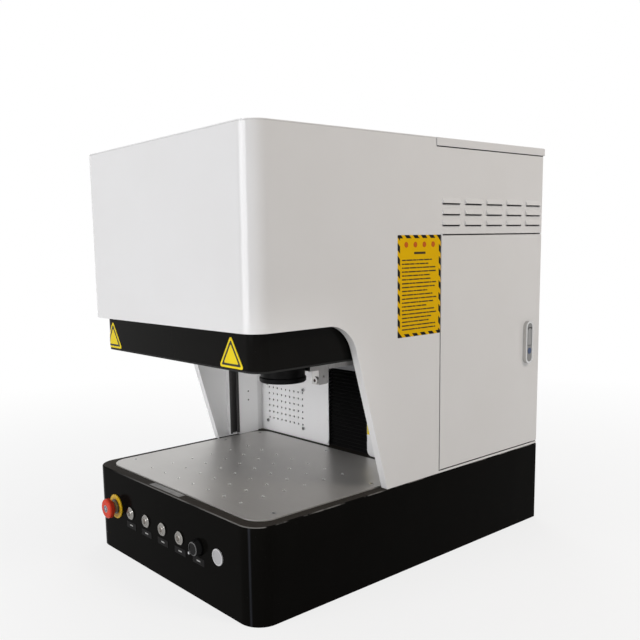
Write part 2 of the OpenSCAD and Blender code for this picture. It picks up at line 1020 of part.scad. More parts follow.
// Scanning head's housing: a box with chamfered upright edges and a lid seam
module galvo_box() {
    middle_y = lens_y + galvo_half - galvo_length / 2;
    color(black)
        difference() {
            translate([head_offset, middle_y, galvo_z])
                linear_extrude(galvo_height)
                    difference() {
                        square([2 * galvo_half, galvo_length], center = true);
                        for (x = [-1, 1])
                            for (y = [-1, 1])
                                translate([x * galvo_half, y * galvo_length / 2])
                                    rotate(45)
                                        square(galvo_edge * diagonal, center = true);
                    }
            translate([head_offset, middle_y, galvo_z + galvo_height - 2 * galvo_lid])
                linear_extrude(galvo_lid / 3)
                    difference() {
                        square([3 * galvo_half, 2 * galvo_length], center = true);
                        square([2 * galvo_half - galvo_lid, galvo_length - galvo_lid], center = true);
                    }
        }
}

// Scan lens: a turned barrel with a wide lower ring and a sunk glass face
module scan_lens() {
    ring = lens_diameter / 2;
    barrel = ring * lens_barrel_share;
    bevel = lens_ring_height / 4;
    color(black)
        translate([head_offset, lens_y, lens_z])
            rotate_extrude()
                polygon([
                    [0, glass_sink],
                    [ring * glass_radius_share, glass_sink],
                    [ring * glass_radius_share + glass_sink, 0],
                    [ring - bevel, 0],
                    [ring, bevel],
                    [ring, lens_ring_height],
                    [barrel, lens_ring_height + bevel],
                    [barrel, lens_height - lens_flange],
                    [ring, lens_height - lens_flange],
                    [ring, lens_height],
                    [0, lens_height]]);
}

// Pointer's bracket under the arm, with a rounded foot and the hole of its clamping screw
module pointer_bracket() {
    right = bracket_x + bracket_width / 2;
    color(silver)
        difference() {
            across(bracket_x - bracket_width / 2, right)
                translate([bracket_front, arm_z])
                    mirror([0, 1])
                        bend_section(bracket_depth, bracket_height, bracket_corner);
            translate([right - bracket_screw_depth, bracket_y, arm_z - bracket_height / 2])
                rotate([0, 90, 0])
                    cylinder(h = bracket_screw_depth + cut, r = bracket_screw_radius);
        }
}

// Focus pointer: a short barrel on the bracket's front with a sunk window
module pointer() {
    x = bracket_x + pointer_shift;
    z = arm_z - pointer_drop;
    color(silver)
        difference() {
            bar(x, bracket_front - pointer_length, z, pointer_radius, pointer_length);
            bar(x, bracket_front - pointer_length - cut, z, pointer_radius * pointer_bore_share,
                cut + pointer_length / 2);
        }
}

// Pleated bellows between two heights: a zigzag strip with as many folds as asked
module bellows(bottom, top, pleats) {
    pitch = (top - bottom) / pleats;
    crest = wall_y + bellows_wall;
    valley = wall_y + bellows_depth - bellows_wall;
    outline = [for (i = [0 : 2 * pleats]) [i % 2 == 0 ? valley : crest, bottom + i * pitch / 2]];
    behind = [for (i = [2 * pleats : -1 : 0]) outline[i] + [bellows_wall, 0]];
    color(black)
        across(slot_left + bellows_clear, slot_right - bellows_clear)
            polygon(concat(outline, behind));
}

module bellows_lower() {
    bellows(deck_z, carriage_z, lower_pleats);
}

module bellows_upper() {
    bellows(carriage_z + carriage_height, roof_z, upper_pleats);
}

// Exhaust fan's frame: a square tunnel with a motor hub on three struts
module exhaust_fan() {
    color(dark)
        translate([vent_x, wall_y + sheet, vent_z])
            rotate([-90, 0, 0]) {
                linear_extrude(fan_depth - fan_strut)
                    fan_tunnel();
                translate([0, 0, fan_depth - fan_strut])
                    linear_extrude(fan_strut) {
                        fan_tunnel();
                        circle(fan_hub);
                        for (i = [0 : 2])
                            rotate(i * 120)
                                translate([0, -fan_strut / 2])
                                    square([fan_radius + fan_pin, fan_strut]);
                    }
                translate([0, 0, fan_depth / 4])
                    cylinder(h = fan_depth * 3 / 4 - fan_strut / 2, r = fan_pin);
            }
}

// Section of the fan's tunnel
module fan_tunnel() {
    difference() {
        square(fan_side, center = true);
        circle(fan_radius);
    }
}

// Fan wheel: a hub with pitched blades, turning on the frame's pin
module fan_rotor() {
    hub_height = fan_depth - fan_strut - 2 * slide_gap - blade_gap;
    blade_height = hub_height - blade_gap;
    color(black)
        translate([vent_x, wall_y + sheet + blade_gap, vent_z])
            rotate([-90, 0, 0])
                difference() {
                    union() {
                        cylinder(h = hub_height, r = fan_hub);
                        intersection() {
                            for (i = [0 : fan_blades - 1])
                                rotate(i * 360 / fan_blades)
                                    translate([fan_radius / 2 + fan_hub / 2, 0, hub_height / 2])
                                        rotate([blade_angle, 0, 0])
                                            cube([fan_radius, fan_side, blade_thick], center = true);
                            translate([0, 0, blade_gap / 2])
                                difference() {
                                    cylinder(h = blade_height, r = fan_radius - blade_gap);
                                    translate([0, 0, -cut])
                                        cylinder(h = blade_height + 2 * cut, r = fan_hub - cut);
                                }
                        }
                    }
                    translate([0, 0, -cut])
                        cylinder(h = hub_height + 2 * cut, r = fan_pin + run_gap);
                }
}

// Duct from the fan to the rear panel
module exhaust_duct() {
    start = wall_y + sheet + fan_depth;
    color(steel)
        difference() {
            bar(vent_x, start, vent_z, duct_radius + sheet, rear_y - start);
            bar(vent_x, start - cut, vent_z, duct_radius, rear_y - start + 2 * cut);
        }
}

// Finger guard on the rear outlet: rings on two crossed bars
module outlet_guard() {
    ring_pitch = (outlet_radius + outlet_rim) / outlet_rings;
    color(dark)
        backwards(back_y, outlet_bar)
            translate([vent_x, vent_z]) {
                for (i = [1 : outlet_rings])
                    difference() {
                        circle(i * ring_pitch);
                        circle(i * ring_pitch - outlet_bar);
                    }
                square([2 * outlet_rings * ring_pitch - outlet_bar, outlet_bar], center = true);
                square([outlet_bar, 2 * outlet_rings * ring_pitch - outlet_bar], center = true);
            }
}

// Mains inlet: a flange outside the rear panel and a recessed socket inside
module mains_inlet() {
    color(black)
        difference() {
            union() {
                backwards(back_y, outlet_bar)
                    translate([inlet_x, inlet_z])
                        square([inlet_width + 2 * inlet_flange, inlet_height + 2 * inlet_flange],
                            center = true);
                backwards(back_y - inlet_depth, inlet_depth)
                    translate([inlet_x, inlet_z])
                        square([inlet_width, inlet_height], center = true);
            }
            backwards(back_y - inlet_depth + outlet_bar, inlet_depth + cut)
                translate([inlet_x, inlet_z])
                    square([inlet_width - 2 * outlet_bar, inlet_height - 2 * outlet_bar], center = true);
        }
}

// Laser source: a box with a finned top, standing on the cabinet's floor
module laser_source() {
    length = source_rear - source_front;
    fin_pitch = (source_right - source_left - source_fin) / (source_fins - 1);
    color(dark)
        translate([source_left, source_front, deck_z]) {
            cube([source_right - source_left, length, source_height]);
            for (i = [0 : source_fins - 1])
                translate([i * fin_pitch, 0, source_height])
                    cube([source_fin, length, source_fin_height]);
        }
}

module power_supply() {
    color(silver)
        translate([-box_spread - supply_size[0] / 2, -supply_size[1] / 2, sheet])
            lipped_box(supply_size);
}

module control_box() {
    color(dark)
        translate([box_spread - control_size[0] / 2, -control_size[1] / 2, sheet])
            lipped_box(control_size);
}

// A closed box with a fixing lip at each end
module lipped_box(size) {
    cube(size);
    translate([0, -box_lip, 0])
        cube([size[0], size[1] + 2 * box_lip, sheet]);
}

// Yellow ring behind the emergency stop
module estop_ring() {
    color([0.86, 0.72, 0.12])
        difference() {
            bar(stop_x, front_y - stop_ring, control_height, stop_ring_diameter / 2, stop_ring);
            bar(stop_x, front_y - stop_ring - cut, control_height, stop_barrel_radius + run_gap,
                stop_ring + 2 * cut);
        }
}

// Emergency stop's seat, collar, barrel and contact block
module estop_collar() {
    rear = front_y + stop_barrel;
    color([0.75, 0.75, 0.73])
        difference() {
            union() {
                bar(stop_x, front_y - stop_collar, control_height, stop_collar_radius,
                    stop_collar - stop_ring);
                bar(stop_x, front_y - stop_ring - stop_seat, control_height, stop_seat_radius, stop_seat);
                bar(stop_x, front_y - stop_ring, control_height, stop_barrel_radius,
                    stop_ring + stop_barrel);
                block([stop_x - stop_block / 2, rear, control_height - stop_block / 2],
                    [stop_x + stop_block / 2, rear + stop_block, control_height + stop_block / 2]);
            }
            bar(stop_x, front_y - stop_collar - cut, control_height, stop_stem_radius + run_gap,
                stop_collar + stop_barrel + cut);
        }
}

module estop_stem() {
    start = front_y - stop_collar - stop_stroke - slide_gap;
    color([0.70, 0.70, 0.68])
        bar(stop_x, start, control_height, stop_stem_radius,
            front_y + stop_barrel - stop_stroke - slide_gap - start);
}

// Mushroom head, turned with a rounded rim and a shallow dished face
module estop_head() {
    radius = stop_head_diameter / 2;
    color([0.80, 0.22, 0.13])
        translate([stop_x, front_y - stop_collar - stop_stroke - slide_gap, control_height])
            rotate([90, 0, 0])
                rotate_extrude() {
                    polygon([
                        [0, 0],
                        [radius - stop_dome, 0],
                        [radius, stop_dome],
                        [radius, stop_head - stop_dome],
                        [radius - stop_dome, stop_head],
                        [0, stop_head]]);
                    translate([radius - stop_dome, stop_head - stop_dome])
                        intersection() {
                            circle(stop_dome);
                            square(stop_dome);
                        }
                }
}

// Bezels and barrels of the four push buttons
module button_bezels() {
    color(silver)
        for (x = button_x)
            difference() {
                union() {
                    translate([x, front_y, control_height])
                        rotate([90, 0, 0]) {
                            cylinder(h = bezel_height - bezel_chamfer, r = bezel_diameter / 2);
                            translate([0, 0, bezel_height - bezel_chamfer])
                                cylinder(h = bezel_chamfer, r1 = bezel_diameter / 2,
                                    r2 = bezel_diameter / 2 - bezel_chamfer);
                        }
                    bar(x, front_y, control_height, barrel_radius, barrel_length);
                }
                bar(x, front_y - bezel_height - cut, control_height, button_diameter / 2 + slide_gap,
                    bezel_height + barrel_length / 2 + cut);
                bar(x, front_y, control_height, button_stem_radius + run_gap, barrel_length + cut);
            }
}

// One push button: a crowned cap on a stem
module push_button(index) {
    radius = button_diameter / 2;
    length = bezel_height + barrel_length / 2 - button_stroke - slide_gap;
    color(silver)
        translate([button_x[index], front_y - bezel_height, control_height])
            rotate([90, 0, 0]) {
                translate([0, 0, -length])
                    cylinder(h = length, r = radius);
                cylinder(h = button_proud, r1 = radius, r2 = radius - button_proud);
                translate([0, 0, -bezel_height - barrel_length + button_stroke])
                    cylinder(h = barrel_length, r = button_stem_radius);
            }
}

module button_1() { push_button(0); }
module button_2() { push_button(1); }
module button_3() { push_button(2); }
module button_4() { push_button(3); }

// Turning knob: a tapered body with a dished front and a nose that points, on a shaft through the panel
module knob() {
    skirt = knob_diameter / 2;
    front = skirt * knob_front_share;
    nose_z = knob_length - knob_nose_length;
    color(black)
        translate([knob_x, front_y, control_height])
            rotate([90, 0, 0]) {
                rotate_extrude()
                    polygon([
                        [0, knob_gap],
                        [skirt, knob_gap],
                        [skirt, knob_gap + knob_lip],
                        [front, knob_length - knob_edge],
                        [front - knob_edge, knob_length],
                        [front - 2 * knob_edge, knob_length],
                        [front - 3 * knob_edge, knob_length - knob_dish],
                        [0, knob_length - knob_dish]]);
                rotate(knob_nose_angle) {
                    translate([knob_nose_reach, 0, nose_z])
                        cylinder(h = knob_nose_length, r = knob_nose_radius);
                    translate([front / 2, -knob_nose_radius, nose_z])
                        cube([knob_nose_reach - front / 2, 2 * knob_nose_radius,
                            knob_nose_length - 2 * knob_dish]);
                }
                translate([0, 0, -barrel_length])
                    cylinder(h = barrel_length + 2 * knob_gap, r = knob_bush - run_gap);
            }
}

// Plug that closes the spare control hole, with a raised rim
module hole_plug() {
    color(white)
        difference() {
            union() {
                bar(plug_x, front_y - plug_height, control_height, plug_radius, plug_height);
                bar(plug_x, front_y, control_height, plug_hole - run_gap, sheet + plug_height);
            }
            bar(plug_x, front_y - plug_height - cut, control_height, plug_radius - plug_rim,
                cut + plug_dish);
        }
}

// Service door: a sheet with its edges folded inwards, hung on two pins
module service_door() {
    color(white)
        difference() {
            block([side_x - door_fold, leaf_y, leaf_bottom], [side_x, back_y, leaf_top]);
            block([side_x - door_fold - cut, leaf_y + sheet, leaf_bottom + sheet],
                [inner_x, rear_y - sheet - door_gap, leaf_top - sheet]);
            block([side_x - door_fold - cut, rear_y - door_gap, leaf_bottom - cut],
                [inner_x, back_y + cut, leaf_top + cut]);
            translate([hinge_x, hinge_y, leaf_bottom - cut])
                cylinder(h = leaf_top - leaf_bottom + 2 * cut, r = pin_radius + run_gap);
            translate([inner_x - cut, lock_y, lock_z])
                rotate([0, 90, 0])
                    cylinder(h = sheet + 2 * cut, r = cam_radius + run_gap);
        }
}

// Hinge pins: one stands on the base, one hangs from the flange over the door
module hinge_pins() {
    color(steel) {
        translate([hinge_x, hinge_y, deck_z])
            cylinder(h = door_sill + pin_length, r = pin_radius);
        translate([hinge_x, hinge_y, door_top - pin_length])
            cylinder(h = pin_length, r = pin_radius);
    }
}

// Swing-handle lock: a rounded body with a recess for the handle and a hole for the button
module lock_body() {
    handle_half = lock_width * handle_width_share / 2;
    handle_top = lock_z + lock_length * handle_top_share;
    handle_foot = lock_z + lock_length * handle_foot_share;
    color(silver)
        difference() {
            union() {
                translate([side_x, lock_y, lock_z])
                    rotate([90, 0, 90])
                        linear_extrude(lock_depth)
                            slot_outline(lock_width, lock_length);
                translate([side_x - door_fold, lock_y, lock_z])
                    rotate([0, 90, 0])
                        cylinder(h = door_fold, r = cam_radius);
                block([side_x - door_fold - cam_thick, lock_y - cam_radius, lock_z - cam_length],
                    [side_x - door_fold, lock_y + cam_radius, lock_z + cam_radius]);
            }
            block([side_x + lock_floor, lock_y - handle_half, handle_foot],
                [side_x + lock_depth + cut, lock_y + handle_half, handle_top]);
            translate([side_x + lock_floor, lock_y, lock_z + button_share * lock_length])
                rotate([0, 90, 0])
                    cylinder(h = lock_depth + cut, r = lock_button_radius + run_gap);
        }
}

// Handle that lies in the lock's recess, with an arched top that is rounded where it pivots
module lock_handle() {
    handle_half = lock_width * handle_width_share / 2 - handle_gap;
    handle_round = (lock_depth - lock_floor - handle_gap) / 2;
    pivot_z = lock_z + lock_length * handle_top_share - handle_gap - handle_round;
    handle_foot = lock_z + lock_length * handle_foot_share + handle_gap;
    arch_z = pivot_z + handle_round + handle_gap / 2 - handle_half;
    color(silver)
        intersection() {
            union() {
                block([side_x + lock_depth - 2 * handle_round, lock_y - handle_half - cut, handle_foot],
                    [side_x + lock_depth, lock_y + handle_half + cut, pivot_z]);
                bar(side_x + lock_depth - handle_round, lock_y - handle_half - cut, pivot_z, handle_round,
                    2 * (handle_half + cut));
            }
            across(side_x, side_x + lock_depth + cut) {
                translate([lock_y - handle_half, handle_foot - cut])
                    square([2 * handle_half, arch_z - handle_foot + cut]);
                translate([lock_y, arch_z])
                    circle(handle_half);
            }
        }
}

module lock_button() {
    start = side_x + lock_floor + lock_button_stroke + slide_gap;
    color([0.05, 0.10, 0.20])
        translate([start, lock_y, lock_z + button_share * lock_length])
            rotate([0, 90, 0])
                cylinder(h = side_x + lock_depth + slide_gap - start, r = lock_button_radius);
}

base_housing();
base_floor();
work_table();
table_bearers();
table_screws();
hood_shell();
hood_top();
vent_louvres();
top_lid();
rear_panel();
back_wall_left();
back_wall_right();
exhaust_cover();
cover_screws();
door_rails();
rail_posts();
lift_cylinders();
door_shroud();
door_seal();
door_sliders();
lift_rods();
z_column();
z_rails();
z_screw();
z_motor();
z_carriage();
z_blocks();
head_arm();
beam_tube();
galvo_box();
scan_lens();
pointer_bracket();
pointer();
bellows_lower();
bellows_upper();
exhaust_fan();
fan_rotor();
exhaust_duct();
outlet_guard();
mains_inlet();
laser_source();
power_supply();
control_box();
estop_ring();
estop_collar();
estop_stem();
estop_head();
button_bezels();
button_1();
button_2();
button_3();
button_4();
knob();
hole_plug();
service_door();
hinge_pins();
lock_body();
lock_handle();
lock_button();
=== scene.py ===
# %% [markdown]
# # Dressing an enclosed engraving machine
# The CAD frame brings every solid of the machine at its true size: a black base, a white folded hood, a
# lifting door and a rear cabinet. This lesson gives each solid its finish, adds the thin pieces that
# lie on the surfaces, and sets up the light and the camera. All lengths are in metres.

import bmesh
import bpy
import numpy as np
from mathutils import Matrix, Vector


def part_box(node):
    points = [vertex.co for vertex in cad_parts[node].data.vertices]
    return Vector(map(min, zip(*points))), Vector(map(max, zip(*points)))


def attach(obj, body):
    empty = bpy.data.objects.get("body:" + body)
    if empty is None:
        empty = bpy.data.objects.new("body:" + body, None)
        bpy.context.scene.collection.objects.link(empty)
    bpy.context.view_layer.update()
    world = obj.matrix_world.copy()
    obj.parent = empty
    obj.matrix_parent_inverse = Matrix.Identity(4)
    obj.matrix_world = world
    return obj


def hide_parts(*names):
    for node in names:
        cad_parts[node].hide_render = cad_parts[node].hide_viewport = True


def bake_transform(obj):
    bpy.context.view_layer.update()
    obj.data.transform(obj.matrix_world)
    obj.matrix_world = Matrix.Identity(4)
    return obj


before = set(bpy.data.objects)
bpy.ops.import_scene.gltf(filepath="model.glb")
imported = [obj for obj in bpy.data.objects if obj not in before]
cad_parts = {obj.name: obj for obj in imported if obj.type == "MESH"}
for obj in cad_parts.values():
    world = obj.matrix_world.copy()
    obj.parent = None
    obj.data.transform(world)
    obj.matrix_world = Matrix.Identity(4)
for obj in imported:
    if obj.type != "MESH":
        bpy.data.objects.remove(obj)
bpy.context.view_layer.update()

# %% [markdown]
# ## Where things are
# The thin pieces lie on faces of the solids, so the planes of those faces come from the solids' own
# boxes. Reading them from the frame is safer than typing them, because a piece then follows the solid.
# The knob sits one button's pitch past the last button.


# %% Planes of the machine
def box(node):
    """A solid's lowest and highest corner, as arrays."""
    return tuple(np.array(corner, dtype=float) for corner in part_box(node))


def middle(node):
    """The middle of a solid's box: half the sum of its corners."""
    return sum(box(node)) / 2


base_low, base_high = box("base_housing")
front_y, side_x, deck_z = base_low[1], base_high[0], base_high[2]
BUTTONS = [f"button_{number}" for number in range(1, 5)]
control_x = [middle(name)[0] for name in BUTTONS]
control_x.append(2 * control_x[-1] - control_x[-2])
control_z = middle(BUTTONS[0])[2]
print("front", front_y, "side", side_x, "deck", deck_z, "controls at", np.round(control_x, 4))

# %% [markdown]
# ## Surfaces from arrays
# Each new piece is an array of points. A stack of rings covers most of them: a ring is an outline, the
# rings are joined by quads, and each end is closed by a fan of triangles to the ring's mean point.
# Blender could build the same by extruding by hand, but an array says in one place how the form comes
# about.


# %% Rings to a mesh
def ring_stack(rings, closed=True):
    """Points, quads and triangles of a stack of rings, given as an array (layers, count, 3).

    Quad (k, i) joins points i and i + 1 of ring k to the same points of ring k + 1, with i + 1 counted
    round the ring. Closed ends add the end rings' mean points and a fan of triangles to each.
    """
    layers, count, _ = rings.shape
    points = rings.reshape(-1, 3)
    index = np.arange(layers * count).reshape(layers, count)
    after = np.roll(index, -1, axis=1)
    quads = np.stack([index[:-1], after[:-1], after[1:], index[1:]], axis=-1).reshape(-1, 4)
    if not closed:
        return points, quads, np.empty((0, 3), dtype=int)
    fans = [np.stack([after[0], index[0], np.full(count, len(points))], axis=-1),
            np.stack([index[-1], after[-1], np.full(count, len(points) + 1)], axis=-1)]
    return np.vstack([points, rings[0].mean(axis=0), rings[-1].mean(axis=0)]), quads, np.vstack(fans)


def join_surfaces(surfaces):
    """One surface from several: each one's point numbers start after the points before it."""
    points, quads, fans = zip(*surfaces)
    starts = np.cumsum([0] + [len(part) for part in points[:-1]])
    return (np.vstack(points), *(np.vstack([part + start for part, start in zip(parts, starts)])
                                 for parts in (quads, fans)))


def add_piece(name, surface, finish, body="machine_frame", plan=None, smooth=False):
    """Makes an object of a surface, turns its faces outwards and lets it ride on a body.

    body is a name, or for cloth the two bodies it lies between and the points where it leaves one and
    reaches the other; these points are not used, and a cloth piece is only fixed in place. plan gives
    each point a pair of numbers that the finish reads as its UV map, in metres.
    """
    points, quads, fans = surface
    mesh = bpy.data.meshes.new(name)
    mesh.from_pydata(points.tolist(), [], quads.tolist() + fans.tolist())
    if plan is not None:
        layer = mesh.uv_layers.new(name="plan")
        corners = np.empty(len(mesh.loops), dtype=np.int32)
        mesh.loops.foreach_get("vertex_index", corners)
        layer.data.foreach_set("uv", np.asarray(plan, dtype=np.float32)[corners].ravel())
    work = bmesh.new()
    work.from_mesh(mesh)
    bmesh.ops.recalc_face_normals(work, faces=work.faces)
    work.to_mesh(mesh)
    work.free()
    mesh.polygons.foreach_set("use_smooth", np.full(len(mesh.polygons), smooth))
    mesh.materials.append(finish)
    piece = bpy.data.objects.new(name, mesh)
    bpy.context.scene.collection.objects.link(piece)
    if isinstance(body, str):
        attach(piece, body)
    else:
        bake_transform(piece)
    print(name, len(mesh.vertices), "points on", body if isinstance(body, str) else body[:2])
    return piece


# %% [markdown]
# ## Plates with rounded corners
# Small plates, signs and stickers are thin and have rounded corners. The outline is a convex polygon
# whose corners are arcs, and a plate is four rings of it: foot, wall, edge and face. Moving the
# polygon's edges inwards gives the smaller rings, so the edge keeps the same width all the way round.


# %% Outline, plate and frame line
INNER_RINGS, INNER_SHARES = 14, (0.9, 0.05)
HALF_EDGE = 0.3


def edge_normals(corners):
    """Outward unit normals of an anticlockwise polygon's edges: edge (dx, dy) has normal (dy, -dx)."""
    edge = np.roll(corners, -1, axis=0) - corners
    normal = np.stack([edge[:, 1], -edge[:, 0]], axis=1)
    return normal / np.linalg.norm(normal, axis=1, keepdims=True)


def move_in(corners, distance):
    """Polygon whose edges lie a distance further in: corner minus d (n1 + n2) / (1 + n1 . n2)."""
    ahead = edge_normals(corners)
    behind = np.roll(ahead, 1, axis=0)
    share = 1 + np.sum(ahead * behind, axis=1, keepdims=True)
    return corners - distance * (ahead + behind) / share


def rounded(corners, radius, steps=6):
    """Outline with arcs: corner c gives c + radius (cos t, sin t).

    The angle t goes from one edge's normal to the next one's.
    """
    core = move_in(corners, radius)
    ahead = edge_normals(core)
    behind = np.roll(ahead, 1, axis=0)
    start = np.arctan2(behind[:, 1], behind[:, 0])
    sweep = (np.arctan2(ahead[:, 1], ahead[:, 0]) - start) % (2 * np.pi)
    turn = start[:, None] + sweep[:, None] * np.linspace(0, 1, steps + 1)[None, :]
    arc = np.stack([np.cos(turn), np.sin(turn)], axis=-1)
    return (core[:, None, :] + radius * arc).reshape(-1, 2)


def evenly(outline, count):
    """The outline again, as points at equal steps of the length along it."""
    loop = np.vstack([outline, outline[:1]])
    length = np.concatenate([[0], np.cumsum(np.linalg.norm(np.diff(loop, axis=0), axis=1))])
    steps = np.linspace(0, length[-1], count, endpoint=False)
    return np.stack([np.interp(steps, length, part) for part in loop.T], axis=1)


def oblong(width, height):
    """Corners of a rectangle about its centre, anticlockwise."""
    return np.array([[-1, -1], [1, -1], [1, 1], [-1, 1]]) * np.array([width, height]) / 2


def place(flats, heights, seat):
    """Carries outlines at their heights on to a seat: origin + u across + v up + height out."""
    origin, across, up = np.array(seat, dtype=float)
    out = np.cross(across, up)
    return np.stack([origin + flat[:, :1] * across + flat[:, 1:] * up + rise * out
                     for flat, rise in zip(flats, heights)])


def plate(corners, radius, thick, seat, edge=None, dense=0):
    """A plate's surface and its plan: rings at (inset, height) of foot, wall, half edge and face.

    With dense set, each ring has that many points and further rings shrink towards the middle, so that
    the plate can be bent round a corner.
    """
    edge = min(thick / 2, radius / 3) if edge is None else edge
    insets = (0, 0, HALF_EDGE * edge, edge)
    heights = [0, thick - edge, thick - HALF_EDGE * edge, thick]
    flats = np.stack([rounded(move_in(corners, inset), max(radius - inset, 1e-5)) for inset in insets])
    if dense:
        flats = np.stack([evenly(flat, dense) for flat in flats])
        centre = flats[-1].mean(axis=0)
        shares = np.linspace(*INNER_SHARES, INNER_RINGS)[:, None, None]
        flats = np.vstack([flats, centre + shares * (flats[-1] - centre)])
        heights += [thick] * INNER_RINGS
    plan = np.vstack([flats.reshape(-1, 2), flats[0].mean(axis=0), flats[-1].mean(axis=0)])
    return ring_stack(place(flats, heights, seat)), plan


def frame_line(corners, radius, inset, width, low, high, seat, dense):
    """A closed bar of square section along an outline: outer and inner ring at two heights."""
    outer, inner = (evenly(rounded(move_in(corners, by), radius), dense)
                    for by in (inset, inset + width))
    flats, heights = [outer, outer, inner, inner, outer], [low, high, high, low, low]
    return ring_stack(place(flats, heights, seat), False)


def bent_round(surface, flat_half, radius, face_y):
    """Bends a surface on a front face round the corners of a rounded sheet.

    Past x = flat_half the distance along the sheet becomes an angle a = (|x| - flat_half) / radius, and
    the point goes to flat_half + (radius + h) sin a and face_y + radius - (radius + h) cos a, with h its
    height.
    """
    points, *faces = surface
    angle = np.maximum(np.abs(points[:, 0]) - flat_half, 0) / radius
    reach = radius + face_y - points[:, 1]
    x = np.sign(points[:, 0]) * (np.minimum(np.abs(points[:, 0]), flat_half) + reach * np.sin(angle))
    y = face_y + radius - reach * np.cos(angle)
    return (np.stack([x, y, points[:, 2]], axis=1), *faces)


def on_front(x, z, y=front_y):
    """Seat on a face that looks to the front: across is +X and up is +Z."""
    return [x, y, z], [1, 0, 0], [0, 0, 1]


def on_side(y, z):
    """Seat on the right-hand side: across is +Y and up is +Z."""
    return [side_x, y, z], [0, 1, 0], [0, 0, 1]


def on_top(x, y, z):
    """Seat on a face that looks up: across is +X and up is +Y."""
    return [x, y, z], [1, 0, 0], [0, 1, 0]


def turned(profile, seat, count=48, closed=True):
    """A surface of revolution and its plan: a point (radius, height) becomes radius (cos t, sin t)."""
    turn = np.linspace(0, 2 * np.pi, count, endpoint=False)
    radii, heights = np.array(profile, dtype=float).T
    flats = radii[:, None, None] * np.stack([np.cos(turn), np.sin(turn)], axis=-1)
    plan = np.vstack([flats.reshape(-1, 2), np.zeros((2 * closed, 2))])
    return ring_stack(place(flats, heights, seat), closed), plan


# %% [markdown]
# ## Small tools for nodes
# Finishes, shared effects, the floor and the sky are all node trees. One class gives short calls for
# the nodes they use, so that each finish below reads as a list of what it has. A node can also be made
# and wired line by line, but then the wiring hides what the finish is.


# %% Node helpers
class Nodes:
    """A node tree, with short calls for the nodes that this lesson uses."""

    def __init__(self, tree):
        self.tree = tree

    def feed(self, socket, value):
        """Links a socket to an input, or sets the input to a number, a vector or a colour."""
        if isinstance(value, bpy.types.NodeSocket):
            self.tree.links.new(value, socket)
        else:
            socket.default_value = (*value, 1.0) if socket.type == "RGBA" else value

    def node(self, kind, inputs=(), **settings):
        """The outputs of a new shader node with its settings, fed by pairs of input and value."""
        made = self.tree.nodes.new("ShaderNode" + kind)
        for title, value in settings.items():
            setattr(made, title, value)
        for title, value in inputs:
            self.feed(made.inputs[title], value)
        return made.outputs

    def math(self, operation, *values):
        """One Math node: each value is a number or a socket."""
        return self.node("Math", enumerate(values), operation=operation)[0]

    def both(self, first, second):
        """The product of two masks: 1 where both are 1."""
        return self.math("MULTIPLY", first, second)

    def within(self, along, centre, half):
        """1 where a coordinate is less than half from a centre."""
        return self.math("LESS_THAN", self.math("ABSOLUTE", self.math("SUBTRACT", along, centre)), half)

    def square(self, first, second):
        """The sum of the squares of two values."""
        return self.math("MULTIPLY_ADD", first, first, self.math("MULTIPLY", second, second))

    def beyond(self, first, second, centre, radius):
        """1 where two coordinates are farther than a radius from a centre."""
        off = [self.math("SUBTRACT", part, at) for part, at in zip((first, second), centre)]
        return self.math("GREATER_THAN", self.square(*off), radius ** 2)

    def spread(self, mask, low, high, start=0.3, stop=0.7):
        """Map Range: the mask's start to stop becomes low to high."""
        return self.node("MapRange", (("Value", mask), ("From Min", start), ("From Max", stop),
                                      ("To Min", low), ("To Max", high)))["Result"]

    def mix(self, mask, first, second):
        """Mix of two colours by a mask. Each colour is three numbers or a socket."""
        return self.node("Mix", ((0, mask), (6, first), (7, second)), data_type="RGBA")[2]

    def noise(self, vector, scale, detail=2.0):
        """A noise texture on a vector."""
        return self.node("TexNoise", (("Vector", vector), ("Scale", scale), ("Detail", detail)))["Fac"]

    def axes(self, vector):
        """The three parts of a vector."""
        return self.node("SeparateXYZ", ((0, vector),))


# %% [markdown]
# ## Shared effects
# A real surface is never one colour. Four effects serve all the finishes: the slow mottle and fine peel
# of enamel, the lines of brushed metal, the soft smears on gloss, and the weave of cloth. Each is a
# node group, so one recipe serves many finishes, each with its own values.


# %% Node groups
class Effect(Nodes):
    """A shader group in the making: a Vector input, further inputs with values, and its outputs."""

    def __init__(self, name, outputs, **inputs):
        super().__init__(bpy.data.node_groups.new(name, "ShaderNodeTree"))
        self.socket("Vector", "INPUT", "Vector")
        for title, value in inputs.items():
            kind = "Vector" if isinstance(value, tuple) else "Float"
            self.socket(title.replace("_", " "), "INPUT", kind).default_value = value
        for title in outputs:
            self.socket(title, "OUTPUT", "Float")
        self.takes = self.tree.nodes.new("NodeGroupInput").outputs
        self.gives = self.tree.nodes.new("NodeGroupOutput").inputs

    def socket(self, name, way, kind):
        """One new socket of the group."""
        return self.tree.interface.new_socket(name=name, in_out=way, socket_type="NodeSocket" + kind)

    def give(self, **values):
        """Links the group's outputs."""
        for title, value in values.items():
            self.feed(self.gives[title], value)


enamel_skin = Effect("enamel_skin", ("Mottle", "Peel"), Peel_size=700.0)
where = enamel_skin.takes["Vector"]
enamel_skin.give(Mottle=enamel_skin.noise(where, 7.0, 3.0),
                 Peel=enamel_skin.noise(where, enamel_skin.takes["Peel size"], 1.0))

brushed_lines = Effect("brushed_lines", ("Line", "Cloud"), Stretch=(6.0, 1400.0, 1400.0))
where, stretch = brushed_lines.takes["Vector"], brushed_lines.takes["Stretch"]
drawn_out = brushed_lines.node("VectorMath", ((0, where), (1, stretch)), operation="MULTIPLY")["Vector"]
brushed_lines.give(Line=brushed_lines.noise(drawn_out, 1.0, 3.0), Cloud=brushed_lines.noise(where, 11.0))

